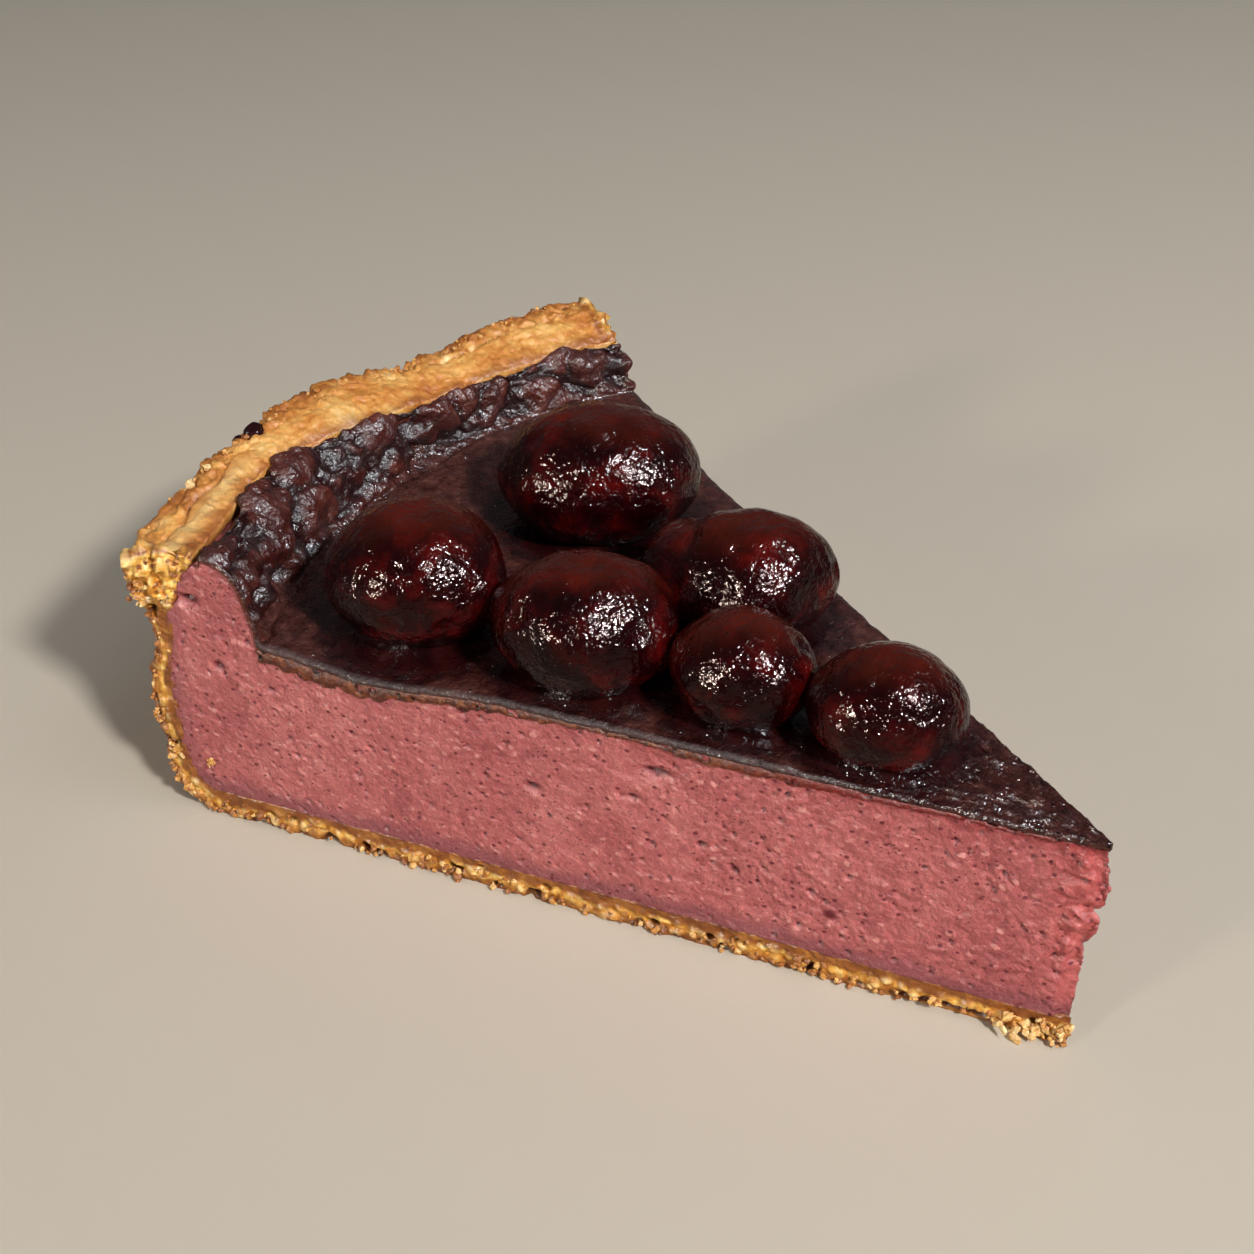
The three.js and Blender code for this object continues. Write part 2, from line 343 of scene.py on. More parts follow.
def write(name, P, F, material, attributes=None, smooth_shade=True):
    """Writes a mesh (millimetres in, metres out) that rides on the one body."""
    tri = F[:, 2] == F[:, 3]
    sizes = np.where(tri, 3, 4)
    starts = np.concatenate([[0], np.cumsum(sizes)[:-1]])
    loops = np.empty(sizes.sum(), np.int32)
    for k in range(4):
        use = sizes > k
        loops[starts[use] + k] = F[use, k]
    mesh = bpy.data.meshes.new(name)
    mesh.vertices.add(len(P))
    mesh.vertices.foreach_set("co", (P * MM).astype(np.float32).ravel())
    mesh.loops.add(len(loops))
    mesh.loops.foreach_set("vertex_index", loops)
    mesh.polygons.add(len(F))
    mesh.polygons.foreach_set("loop_start", starts.astype(np.int32))
    mesh.polygons.foreach_set("loop_total", sizes.astype(np.int32))
    mesh.update(calc_edges=True)
    mesh.validate()
    mesh.polygons.foreach_set("use_smooth", np.full(len(mesh.polygons), smooth_shade))
    for key, values in (attributes or {}).items():
        layer = mesh.attributes.new(key, "FLOAT", "POINT")
        layer.data.foreach_set("value", np.asarray(values, np.float32))
    mesh.materials.append(material)
    mesh.update()
    obj = bpy.data.objects.new(name, mesh)
    bpy.context.scene.collection.objects.link(obj)
    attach(obj, "root")
    print("piece", name, len(P), "vertices", int((sizes - 2).sum()), "triangles")
    return obj


# ------------------------------------------------------------------ node materials
class Mat:
    def __init__(self, name):
        self.mat = bpy.data.materials.new(name)
        self.mat.use_nodes = True
        self.nt = self.mat.node_tree
        self.nt.nodes.clear()
        self.out = self.nt.nodes.new("ShaderNodeOutputMaterial")
        self.bsdf = self.nt.nodes.new("ShaderNodeBsdfPrincipled")
        self.nt.links.new(self.bsdf.outputs[0], self.out.inputs[0])
        self.coord = self.nt.nodes.new("ShaderNodeTexCoord").outputs["Object"]

    def put(self, socket, value):
        if isinstance(value, bpy.types.NodeSocket):
            self.nt.links.new(value, socket)
        elif isinstance(value, (tuple, list)) and len(value) == 3 and socket.type == "RGBA":
            socket.default_value = (*value, 1)
        else:
            socket.default_value = value

    def set(self, **values):
        for k, v in values.items():
            self.put(self.bsdf.inputs[k.replace("_", " ")], v)
        return self

    def attr(self, name):
        n = self.nt.nodes.new("ShaderNodeAttribute")
        n.attribute_name = name
        return n.outputs["Fac"]

    def scaled(self, vector):
        n = self.nt.nodes.new("ShaderNodeMapping")
        self.put(n.inputs["Vector"], self.coord)
        n.inputs["Scale"].default_value = vector
        return n.outputs[0]

    def noise(self, scale, detail=3, rough=0.55, distort=0.0, vector=None):
        """scale is the size of the largest features in millimetres."""
        n = self.nt.nodes.new("ShaderNodeTexNoise")
        self.put(n.inputs["Vector"], vector or self.coord)
        n.inputs["Scale"].default_value = 1000 / scale
        n.inputs["Detail"].default_value = detail
        n.inputs["Roughness"].default_value = rough
        n.inputs["Distortion"].default_value = distort
        return n.outputs["Fac"]

    def voronoi(self, scale, feature="F1", random=1.0, vector=None, out="Distance"):
        n = self.nt.nodes.new("ShaderNodeTexVoronoi")
        n.feature = feature
        self.put(n.inputs["Vector"], vector or self.coord)
        n.inputs["Scale"].default_value = 1000 / scale
        n.inputs["Randomness"].default_value = random
        return n.outputs[out]

    def math(self, op, a, b=None, clamp=False):
        n = self.nt.nodes.new("ShaderNodeMath")
        n.operation = op
        n.use_clamp = clamp
        self.put(n.inputs[0], a)
        if b is not None:
            self.put(n.inputs[1], b)
        return n.outputs[0]

    def span(self, value, lo, hi, a=0.0, b=1.0):
        n = self.nt.nodes.new("ShaderNodeMapRange")
        n.interpolation_type = "SMOOTHSTEP"
        self.put(n.inputs["Value"], value)
        for k, v in zip(("From Min", "From Max", "To Min", "To Max"), (lo, hi, a, b)):
            n.inputs[k].default_value = v
        return n.outputs[0]

    def ramp(self, fac, *stops):
        n = self.nt.nodes.new("ShaderNodeValToRGB")
        self.put(n.inputs[0], fac)
        e = n.color_ramp.elements
        while len(e) < len(stops):
            e.new(0.5)
        for el, (p, c) in zip(e, stops):
            el.position = p
            el.color = (*c, 1)
        return n.outputs[0]

    def mix(self, fac, a, b, kind="MIX"):
        n = self.nt.nodes.new("ShaderNodeMix")
        n.data_type = "RGBA"
        n.blend_type = kind
        self.put(n.inputs[0], fac)
        self.put(n.inputs[6], a)
        self.put(n.inputs[7], b)
        return n.outputs[2]

    def bump(self, height, distance, strength=1.0, normal=None):
        """distance is the height in millimetres that one unit of height stands for."""
        n = self.nt.nodes.new("ShaderNodeBump")
        n.inputs["Strength"].default_value = strength
        n.inputs["Distance"].default_value = distance * MM
        self.put(n.inputs["Height"], height)
        if normal is not None:
            self.put(n.inputs["Normal"], normal)
        return n.outputs[0]


def rgb(r, g, b):
    """Linear colour from 0-255 display values."""
    return tuple((c / 255 / 12.92) if c / 255 <= 0.04045 else ((c / 255 + 0.055) / 1.055) ** 2.4 for c in (r, g, b))


def crust_material():
    m = Mat("baked_crust")
    brown_and_reflection, cut, damp, hollow_shade = m.attr("brown_and_reflection"), m.attr("cut"), m.attr("damp"), m.attr("hollow_shade")
    broad, fine = m.noise(7, 4, 0.6), m.noise(1.4, 4, 0.65)
    tone = m.math("ADD", m.math("MULTIPLY", broad, 0.6), m.math("MULTIPLY", fine, 0.4))
    skin = m.ramp(tone, (0.33, rgb(176, 96, 30)), (0.46, rgb(216, 142, 62)), (0.57, rgb(240, 184, 102)), (0.69, rgb(255, 222, 160)))
    toast = m.ramp(tone, (0.32, rgb(112, 56, 16)), (0.48, rgb(170, 98, 32)), (0.62, rgb(206, 138, 58)), (0.75, rgb(236, 180, 102)))
    crumb = m.ramp(m.noise(0.9, 4, 0.6), (0.3, rgb(172, 98, 24)), (0.44, rgb(228, 160, 62)), (0.57, rgb(252, 204, 106)), (0.74, rgb(255, 238, 176)))
    browned = m.ramp(m.noise(1.1, 4, 0.6), (0.3, rgb(118, 58, 16)), (0.48, rgb(164, 94, 36)), (0.62, rgb(196, 132, 56)), (0.8, rgb(226, 172, 92)))
    col = m.mix(brown_and_reflection, skin, toast)
    col = m.mix(m.span(cut, 0.0, 0.35), col, browned)
    col = m.mix(m.span(cut, 0.5, 1.0), col, crumb)
    moist = m.ramp(m.noise(2.2, 3, 0.5), (0.3, rgb(116, 62, 26)), (0.55, rgb(154, 92, 40)), (0.75, rgb(190, 130, 62)))
    col = m.mix(damp, col, moist)
    col = m.mix(m.attr("pale_and_highlight"), col, rgb(252, 222, 152))
    col = m.mix(m.attr("stain"), col, rgb(150, 82, 34))
    # painted shade: dark brown in the holes, cracks, crevices and broken-away gaps
    col = m.mix(m.span(hollow_shade, 0.12, 0.95), col, rgb(84, 38, 8))
    specks = m.span(m.voronoi(2.6), 0.02, 0.075, 1.0, 0.0)
    col = m.mix(m.math("MULTIPLY", specks, 0.55), col, rgb(92, 46, 14))
    h = m.math("ADD", m.math("MULTIPLY", m.noise(0.55, 3, 0.6), 0.6), m.math("MULTIPLY", m.voronoi(0.9), 0.5))
    m.set(Base_Color=col, Roughness=m.span(m.math("MAXIMUM", damp, cut), 0, 1, 0.5, 0.34), Normal=m.bump(h, 0.3, 0.9),
          IOR=1.46, Specular_IOR_Level=0.25)
    return m.mat


def crumb_material():
    m = Mat("pastry_crumb")
    tone = m.math("ADD", m.math("MULTIPLY", m.attr("tone"), 0.75), m.math("MULTIPLY", m.noise(0.8, 3, 0.6), 0.25))
    col = m.ramp(tone, (0.1, rgb(138, 76, 22)), (0.4, rgb(184, 118, 44)), (0.66, rgb(218, 162, 78)), (0.95, rgb(250, 222, 158)))
    m.set(Base_Color=col, Roughness=0.55, Normal=m.bump(m.noise(0.4, 3, 0.6), 0.15, 0.8), IOR=1.46, Specular_IOR_Level=0.3)
    return m.mat


def custard_material():
    m = Mat("pink_custard")
    low, top, tip, hollow_shade = m.attr("low"), m.attr("top"), m.attr("tip"), m.attr("hollow_shade")
    broad, mid, fine = m.noise(9, 3, 0.5), m.noise(1.5, 4, 0.6), m.noise(0.5, 3, 0.6)
    tone = m.math("ADD", m.math("MULTIPLY", broad, 0.35), m.math("ADD", m.math("MULTIPLY", mid, 0.4), m.math("MULTIPLY", fine, 0.25)))
    body = m.ramp(tone, (0.33, rgb(152, 72, 76)), (0.46, rgb(179, 94, 96)), (0.55, rgb(194, 109, 109)), (0.68, rgb(220, 144, 140)))
    # painted highlight: paler on the raised flakes
    col = m.mix(m.span(m.attr("pale_and_highlight"), 0.1, 0.8, 0.0, 0.8), body, rgb(228, 156, 150))
    body = m.mix(m.span(m.noise(0.8, 2, 0.5), 0.5, 0.75, 0.0, 0.4), col, rgb(206, 122, 122))
    col = m.mix(m.math("MULTIPLY", tip, 0.75), body, m.ramp(mid, (0.35, rgb(164, 68, 70)), (0.65, rgb(204, 104, 100))))
    col = m.mix(m.math("MULTIPLY", top, 0.8), col, rgb(146, 44, 50))
    col = m.mix(m.math("MULTIPLY", low, 0.7), col, rgb(134, 74, 82))
    # painted shade of fine pores as dark specks and a few larger ones, and painted highlights as pale flecks
    stretched = m.scaled((1.0, 1.0, 1.25))
    mottled = m.span(m.noise(7, 2, 0.5), 0.32, 0.56)
    pore_shade = m.span(m.voronoi(0.9, vector=stretched), 0.1, 0.2, 1.0, 0.0)
    pore_shade_large = m.span(m.voronoi(1.7, vector=stretched), 0.12, 0.19, 1.0, 0.0)
    pale_and_highlight = m.span(m.voronoi(2.1), 0.02, 0.11, 1.0, 0.0)
    col = m.mix(m.math("MULTIPLY", m.math("MULTIPLY", pore_shade, mottled), 0.95), col, rgb(92, 20, 32))
    col = m.mix(m.math("MULTIPLY", pore_shade_large, 0.85), col, rgb(98, 20, 34))
    col = m.mix(m.math("MULTIPLY", pale_and_highlight, 0.5), col, rgb(236, 168, 160))
    # painted shade in the pores and hollows
    col = m.mix(m.span(hollow_shade, 0.1, 0.8), col, rgb(104, 26, 38))
    h = m.math("ADD", m.math("MULTIPLY", mid, 0.9), m.math("MULTIPLY", fine, 0.5))
    m.set(Base_Color=col, Roughness=m.span(mid, 0.3, 0.7, 0.46, 0.3), Normal=m.bump(h, 0.5, 0.9), IOR=1.42, Specular_IOR_Level=0.27,
          Subsurface_Weight=0.12, Subsurface_Scale=0.0028)
    m.bsdf.inputs["Subsurface Radius"].default_value = (1.0, 0.35, 0.32)
    return m.mat


def skin_material():
    m = Mat("fruit_skin")
    slope, thin = m.attr("slope"), m.attr("thin")
    broad, mid = m.noise(6, 3, 0.55), m.noise(1.6, 4, 0.6)
    flat = m.ramp(mid, (0.35, rgb(54, 24, 21)), (0.58, rgb(82, 45, 40)), (0.77, rgb(114, 72, 63)))
    wrinkled = m.ramp(m.math("ADD", m.math("MULTIPLY", broad, 0.6), m.math("MULTIPLY", mid, 0.4)),
                      (0.3, rgb(48, 10, 9)), (0.5, rgb(76, 28, 22)), (0.66, rgb(108, 50, 38)))
    col = m.mix(slope, flat, wrinkled)
    # darker where syrup wets the skin beside the fruits; painted shade towards the tip
    col = m.mix(m.attr("wet_and_shade"), col, m.ramp(mid, (0.35, rgb(26, 6, 7)), (0.7, rgb(52, 18, 17))))
    col = m.mix(m.math("MULTIPLY", m.attr("shade"), 0.85), col, rgb(26, 2, 4))
    col = m.mix(thin, col, rgb(120, 52, 28))
    lip = m.attr("lip")
    col = m.mix(m.math("MULTIPLY", lip, 0.6), col, rgb(50, 20, 15))
    h = m.math("ADD", m.math("MULTIPLY", m.noise(1.2, 3, 0.6), 1.0), m.math("MULTIPLY", m.voronoi(2.1, "SMOOTH_F1"), 0.3))
    h = m.math("ADD", h, m.math("MULTIPLY", m.noise(0.45, 2, 0.5), 0.55))
    beads = m.span(m.voronoi(2.0), 0.0, 0.12, 1.0, 0.0)
    h = m.math("ADD", h, m.math("MULTIPLY", beads, 0.7))
    rough = m.math("ADD", m.span(m.noise(2.4, 3, 0.6), 0.38, 0.62, 0.16, 0.36), m.math("MULTIPLY", slope, 0.18))
    rough = m.math("MAXIMUM", rough, m.math("MULTIPLY", lip, 0.72))
    relief = m.bump(h, 0.36, 1.0)
    m.set(Base_Color=col, Roughness=rough, Normal=relief, IOR=1.5,
          Specular_IOR_Level=0.21,
          Coat_Weight=0.08, Coat_Roughness=0.1)
    m.put(m.bsdf.inputs["Coat Normal"], relief)
    return m.mat


def film_material():
    m = Mat("brown_film")
    hollow_shade = m.attr("hollow_shade")
    mid = m.noise(1.1, 4, 0.65)
    col = m.ramp(mid, (0.3, rgb(54, 18, 9)), (0.5, rgb(102, 46, 22)), (0.65, rgb(140, 76, 38)), (0.8, rgb(182, 122, 70)))
    col = m.mix(m.attr("red"), col, rgb(120, 30, 24))
    # painted shade in the holes
    col = m.mix(m.span(hollow_shade, 0.1, 0.7), col, rgb(26, 8, 6))
    m.set(Base_Color=col, Roughness=0.34, Normal=m.bump(m.noise(0.5, 4, 0.65), 0.3, 0.9), IOR=1.48, Specular_IOR_Level=0.25)
    return m.mat


def fruit_material():
    m = Mat("glazed_fruit")
    brown_and_reflection = m.attr("brown_and_reflection")
    mid = m.noise(4.5, 4, 0.6, 0.4)
    col = m.ramp(mid, (0.32, rgb(10, 0, 0)), (0.5, rgb(30, 1, 2)), (0.63, rgb(60, 4, 4)), (0.8, rgb(88, 10, 7)))
    # painted reflection: a brownish sheen of the surroundings on the upper back of each fruit
    col = m.mix(m.math("MULTIPLY", brown_and_reflection, 0.9), col, rgb(98, 34, 20))
    ripple = m.noise(1.7, 3, 0.55, 0.8, vector=m.scaled((1.0, 0.5, 1.0)))
    fine = m.noise(0.7, 2, 0.5)
    beads = m.span(m.voronoi(1.9), 0.0, 0.13, 1.0, 0.0)
    h = m.math("ADD", m.math("ADD", ripple, m.math("MULTIPLY", fine, 0.65)), m.math("MULTIPLY", beads, 0.5))
    relief = m.bump(h, 0.36, 1.0)
    m.set(Base_Color=col, Roughness=0.14, Normal=relief, IOR=1.5, Specular_IOR_Level=0.08,
          Coat_Weight=0.17, Coat_Roughness=0.09, Coat_IOR=1.5)
    m.bsdf.inputs["Specular Tint"].default_value = (1.0, 0.62, 0.54, 1)
    m.put(m.bsdf.inputs["Coat Normal"], relief)
    return m.mat


def syrup_material():
    m = Mat("dark_syrup")
    col = m.ramp(m.noise(3, 3, 0.5), (0.35, rgb(24, 4, 6)), (0.7, rgb(48, 14, 13)))
    h = m.math("ADD", m.noise(1.5, 3, 0.6), m.math("MULTIPLY", m.noise(0.6, 2, 0.5), 0.4))
    m.set(Base_Color=col, Roughness=0.18, Normal=m.bump(h, 0.32, 1.0), IOR=1.45, Specular_IOR_Level=0.14,
          Coat_Weight=0.08, Coat_Roughness=0.08, Coat_IOR=1.5)
    return m.mat


CRUST_MAT, CRUMB_MAT, CUSTARD_MAT = crust_material(), crumb_material(), custard_material()
SKIN_MAT, FILM_MAT, FRUIT_MAT, SYRUP_MAT = skin_material(), film_material(), fruit_material(), syrup_material()


# ------------------------------------------------------------------ the pastry case
N_BASE, N_CORNER, N_WALL, N_RIM = 440, 34, 110, 40
N_AROUND = 244
N_THICK = 22


def crust_paths(a, base):
    """Outer and inner line of the case's cross-section at the angles a, both from the tip to the rim's inner edge."""
    a = np.atleast_1d(a)[:, None]
    R, tip = reach(a), mix(1.6, 0.6, (side(a) + 1) / 2)
    f = np.linspace(0, 1, base + 1)[None, :-1]
    ro = [mix(tip, R - 1.1 - CORNER_W, f)]
    zo = [0 * ro[0]]
    ri = [mix(tip, R - inner_inset(np.full_like(a, BASE_THICK), a), f)]
    zi = [0 * ri[0] + BASE_THICK]
    th = np.linspace(0, np.pi / 2, N_CORNER + 1)[None, :-1]
    z = CORNER_H * (1 - np.cos(th)) + 0 * a
    ro.append(R - wall_inset(z, a) - CORNER_W * (1 - np.sin(th)))
    zo.append(z)
    top = rim_out_z(a)
    z = mix(CORNER_H, top, np.linspace(0, 1, N_WALL + 1)[None, :-1])
    ro.append(R - wall_inset(z, a))
    zo.append(z)
    n_side = N_CORNER + N_WALL
    z = mix(BASE_THICK, rim_in_z(a) - LIP_DROP, np.linspace(0, 1, n_side + 1)[None, :-1])
    ri.append(R - inner_inset(z, a))
    zi.append(z)
    f = np.linspace(0, 1, N_RIM + 1)[None, :]
    outer, width = wall_inset(top, a), rim_width(a)
    ro.append(R - mix(outer + 0.25 * f ** 0.2 * (f < 0.2), width, f))
    zo.append(mix(top, rim_in_z(a) - 0.5, f) + 0.9 * np.sin(np.pi * f) ** 0.8)
    z = mix(rim_in_z(a) - LIP_DROP, rim_in_z(a) - 1.7, f)
    lip_r = R - inner_inset(z, a)
    end_r = R - width
    ri.append(mix(lip_r, end_r, f ** 6))
    zi.append(mix(z, rim_in_z(a) - 0.5, f ** 6))
    return tuple(np.concatenate(x, 1) for x in (ro, zo, ri, zi))


def make_crust():
    s = Shell("cut", "depth", "top", "along", "side")
    angles = np.linspace(-HALF, HALF, N_AROUND + 1)
    ends = np.array([-HALF, HALF])
    ro, zo, ri, zi = crust_paths(ends, N_BASE)
    K = ro.shape[1]
    v = np.linspace(0, 1, N_THICK + 1)
    first = N_BASE                                    # where the corner begins
    along = np.arange(K)
    head = (along >= K - N_RIM - 14).astype(float)
    for e, flip in ((0, True), (1, False)):
        r = ro[e][:, None] * (1 - v) + ri[e][:, None] * v
        z = zo[e][:, None] * (1 - v) + zi[e][:, None] * v
        s.grid(place(r, ends[e], z), flip=flip, cut=1.0, depth=np.broadcast_to(v, r.shape),
               top=np.broadcast_to(head[:, None], r.shape), along=np.broadcast_to(along[:, None] / K, r.shape), side=ends[e] / HALF)
    # outside: corner, wall and rim top in full detail
    RO, ZO, RI, ZI = crust_paths(angles, N_BASE)
    sub = slice(first, K)
    f_top = np.clip((np.arange(K) - (K - 1 - N_RIM)) / N_RIM, 0, 1)[sub]
    A = angles[:, None]
    s.grid(place(RO[:, sub], A, ZO[:, sub]), flip=True, cut=0.0, depth=0.0,
           top=np.broadcast_to(f_top, RO[:, sub].shape), along=np.broadcast_to(along[sub] / K, RO[:, sub].shape),
           side=np.broadcast_to(A / HALF, RO[:, sub].shape))
    # tip end of the base
    w_tip = np.linspace(-HALF, HALF, 7)
    tip = mix(1.6, 0.6, (w_tip / HALF + 1) / 2)
    Wt, Vt = np.meshgrid(w_tip, v, indexing="ij")
    s.grid(place(np.broadcast_to(tip[:, None], Wt.shape), Wt, Vt * BASE_THICK), cut=1.0, depth=Vt, top=0.0, along=0.0, side=Wt / HALF)
    # underside
    fb = np.linspace(0, 1, N_BASE + 1)
    edge = np.concatenate([
        np.stack([fb[:-1], np.full(N_BASE, -HALF)], 1),
        np.stack([np.ones(N_AROUND), angles[:-1]], 1),
        np.stack([fb[:0:-1], np.full(N_BASE, HALF)], 1),
        np.stack([np.zeros(6), w_tip[:0:-1]], 1)])
    g = np.array([(x, y) for x in np.linspace(0.05, 0.985, 34) for y in np.linspace(-0.94 * HALF, 0.94 * HALF, 22)])

    def under(uv):
        a = uv[:, 1]
        return place(mix(mix(1.6, 0.6, (side(a) + 1) / 2), reach(a) - 1.1 - CORNER_W, uv[:, 0]), a, 0 * a)
    s.fill(edge, g, under, flip=False, cut=0.0, depth=0.0, top=0.0, along=0.3, side=lambda uv: uv[:, 1] / HALF)
    # inside, against the custard
    kk = np.arange(K) / (K - 1)
    edge = np.concatenate([
        np.stack([kk[:-1], np.full(K - 1, -HALF)], 1),
        np.stack([np.ones(N_AROUND), angles[:-1]], 1),
        np.stack([kk[:0:-1], np.full(K - 1, HALF)], 1),
        np.stack([np.zeros(6), w_tip[:0:-1]], 1)])
    g = np.array([(x, y) for x in np.linspace(0.03, 0.985, 60) for y in np.linspace(-0.94 * HALF, 0.94 * HALF, 22)])

    def inside(uv):
        out = np.zeros((len(uv), 3))
        for a in np.unique(uv[:, 1]):
            use = uv[:, 1] == a
            r, z = (x[0] for x in crust_paths(a, N_BASE)[2:])
            t = uv[use, 0]
            out[use] = place(np.interp(t, kk, r), a, np.interp(t, kk, z))
        return out
    s.fill(edge, g, inside, flip=True, cut=0.0, depth=1.0, top=0.0, along=0.3, side=lambda uv: uv[:, 1] / HALF)
    s.weld()

    P, F = s.P, s.F
    N = normals(P, F)
    cut, depth, top, sd = s.get("cut"), s.get("depth"), s.get("top"), s.get("side")
    r = np.hypot(P[:, 0] - TIP_X, P[:, 1] - TIP_Y)
    a = np.arctan2(P[:, 1] - TIP_Y, TIP_X - P[:, 0])
    z = P[:, 2]
    out = cut < 0.4
    shown = (depth < 0.5) | ~out
    face = np.clip(cut, 0, 1)
    head = smooth(27.5, 31, z) * (r > 90)
    wallish = smooth(5, 9, z)
    # broad unevenness everywhere, finer grain on top of it
    broad = fbm(P / 5.0, 3, 0.5, 11)
    grain = fbm(P / 1.5, 3, 0.6, 23)
    flake1, flake2, own = cells(P / (2.4, 2.4, 1.6) + 0.35 * grain[:, None], 5)
    scale = np.clip(1.25 - flake1 * 1.5, -0.6, 1)        # small overlapping flakes
    outer_wall = out & (depth < 0.5) & (z > 0.5)
    rim_f = top * out                                     # 0 at the outer edge, 1 at the inner edge
    inner_smooth = smooth(0.36, 0.62, rim_f + 0.10 * broad) * out
    rough_edge = head * (1 - inner_smooth)
    torn_end = smooth(2.6, 0.3, np.maximum(0, HALF - np.abs(a)) * r) * outer_wall   # close to the cuts
    d = np.zeros(len(P))
    d += outer_wall * (0.42 * broad + (0.14 + 0.16 * rough_edge) * grain + 0.22 * (1 - inner_smooth) * scale * (0.4 + own))
    across = ridged(np.stack([a / RAD * 0.55, r * 0.12, z * 0.1], 1), 2, 0.5, 41)
    d += outer_wall * inner_smooth * (0.36 * fbm(P / 3.0, 2, 0.5, 37) + 0.2 * fbm(P / 1.3, 2, 0.5, 39) + 0.16 * scale * (own > 0.5) - 0.3 * smooth(0.8, 0.97, across))
    # outer strip of the rim: broken layers
    layers = ridged(np.stack([a / RAD * 0.9, r * 0.42, z * 0.2], 1), 3, 0.6, 51)
    d += rough_edge * (rim_f < 0.45) * (0.8 * (layers - 0.55) + 0.25 * noise(P / 0.9, 91))
    # crack that splits the outer strip off near the front cut
    line = 0.46 + 0.05 * np.sin(a / RAD * 1.3) + 0.04 * noise(np.stack([a / RAD, 0 * a, 0 * a], 1), 77)
    crack = bump(rim_f, line, 0.045) * (1 - smooth(-13.5, -9, a / RAD)) * head * out
    crack2 = bump(rim_f, 0.36, 0.04) * smooth(6, 9, a / RAD) * (1 - smooth(18, 20, a / RAD)) * head * out
    d -= 0.6 * crack + 0.45 * crack2
    # cut faces: bonded crumbs, moist and smoother against the custard
    Q = P + 0.35 * np.stack([fbm(P / 1.1, 2, 0.5, 61), fbm(P / 1.1, 2, 0.5, 62), fbm(P / 1.1, 2, 0.5, 63)], 1)
    k1, _, ko = cells(Q / mix(1.5, 2.0, head)[:, None], 65)
    k2, _, kp = cells(Q / 0.8, 67)
    h1, _, ho = cells(Q / (2.3, 2.3, 1.9), 69)
    crumbly = face * (1 - smooth(0.56, 0.8, depth + 0.3 * broad + 0.12 * grain) * (1 - 0.75 * head))
    hole = smooth(0.40, 0.18, h1) * (ho > 0.6) * crumbly
    lumps = (0.62 + 0.5 * head) * (0.62 - k1) * (0.5 + ko) + 0.34 * (0.62 - k2) * (0.4 + kp)
    d += crumbly * (lumps * (1 + 0.35 * head) + 0.12 * grain + 0.25 * broad + 0.6 * head * (0.5 - k1) * (0.4 + ko))
    d += face * (1 - crumbly) * (0.22 * grain + 0.2 * broad + 0.12 * (0.5 - k2))
    d += torn_end * (lumps * 1.3 + 0.1)
    d -= hole * (0.9 + 0.8 * ho)
    # bits have broken away from the lower edge of the base at the cuts
    lower = face * smooth(0.45, 0.0, depth) * (r > 3) * (z < 3.4)
    gone = smooth(0.15, 0.6, noise(np.stack([r / 3.2, sd * 4.0, 0 * r], 1), 83) + 0.4 * noise(np.stack([r / 1.1, sd * 4.0, 0 * r], 1), 84))
    special = bump(r, 12.0, 4.0) * (sd < 0)                # the gap near the tip, darkened below with painted shade
    gone = np.clip(gone + special, 0, 1)
    P = P + N * d[:, None] * (shown | ~out)[:, None]
    P[:, 2] += lower * gone * 0.9
    inward = lower * gone * 0.9
    P[:, 0] -= np.sin(HALF) * inward
    P[:, 1] -= np.sign(sd) * np.cos(HALF) * inward
    P[:, 2] = np.maximum(P[:, 2], 0.0)
    # colour masks
    crest = smooth(0.1, 0.6, d)
    brown_and_reflection = outer_wall * np.clip(0.55 * (1 - inner_smooth) + 0.35 * smooth(0.3, -0.4, broad) + 0.25 * (1 - scale), 0, 1)
    brown_and_reflection = np.where(rim_f > 0, np.clip(0.95 - 2.2 * rim_f + 0.9 * broad + 0.3 * grain, 0, 1), brown_and_reflection)
    brown_and_reflection = np.where((z < 26) & outer_wall, np.clip(0.55 + 0.6 * broad - 0.35 * scale, 0.1, 1), brown_and_reflection)
    brown_and_reflection = np.where(out & (depth < 0.5) & (z <= 0.5), 0.75, brown_and_reflection)
    damp = face * smooth(0.46, 0.7, depth + 0.3 * broad + 0.12 * grain) * (1 - head) + (1 - face) * (depth > 0.5)
    damp = np.clip(damp, 0, 1)
    # painted shade in the holes, cracks, crevices, broken-away gaps and low on the base's cut face
    crevice = smooth(0.02, -0.28, lumps) * np.maximum(crumbly, torn_end)
    hollow_shade = np.clip(hole * 0.95 + 0.5 * crack + 0.4 * crack2 + 0.9 * lower * gone + 0.5 * crevice + 0.5 * crumbly * (1 - head) * smooth(0.42, 0.05, depth + 0.15 * broad), 0, 1)
    cut_tone = np.clip(np.maximum(face, 0.8 * torn_end) * (1 - 0.45 * smooth(0.75, 0.0, depth) * (1 - head)), 0, 1)
    stain = np.clip(smooth(0.80, 0.99, rim_f + 0.08 * grain + 0.14 * broad) * out, 0, 1) * 0.75
    pale_and_highlight = np.maximum(crumbly, torn_end) * smooth(0.62, 0.95, ko) * smooth(0.5, 0.2, k1)
    pale_and_highlight = np.clip(pale_and_highlight + out * (rim_f > 0) * bump(rim_f + 0.08 * broad, 0.68, 0.13) * smooth(-8, -13, a / RAD) * (0.45 + 0.5 * grain), 0, 1)
    obj = write("crust_baked", P, F, CRUST_MAT, {"brown_and_reflection": brown_and_reflection, "cut": cut_tone, "damp": damp, "hollow_shade": hollow_shade, "pale_and_highlight": pale_and_highlight, "stain": stain})
    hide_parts("crust")
    return obj


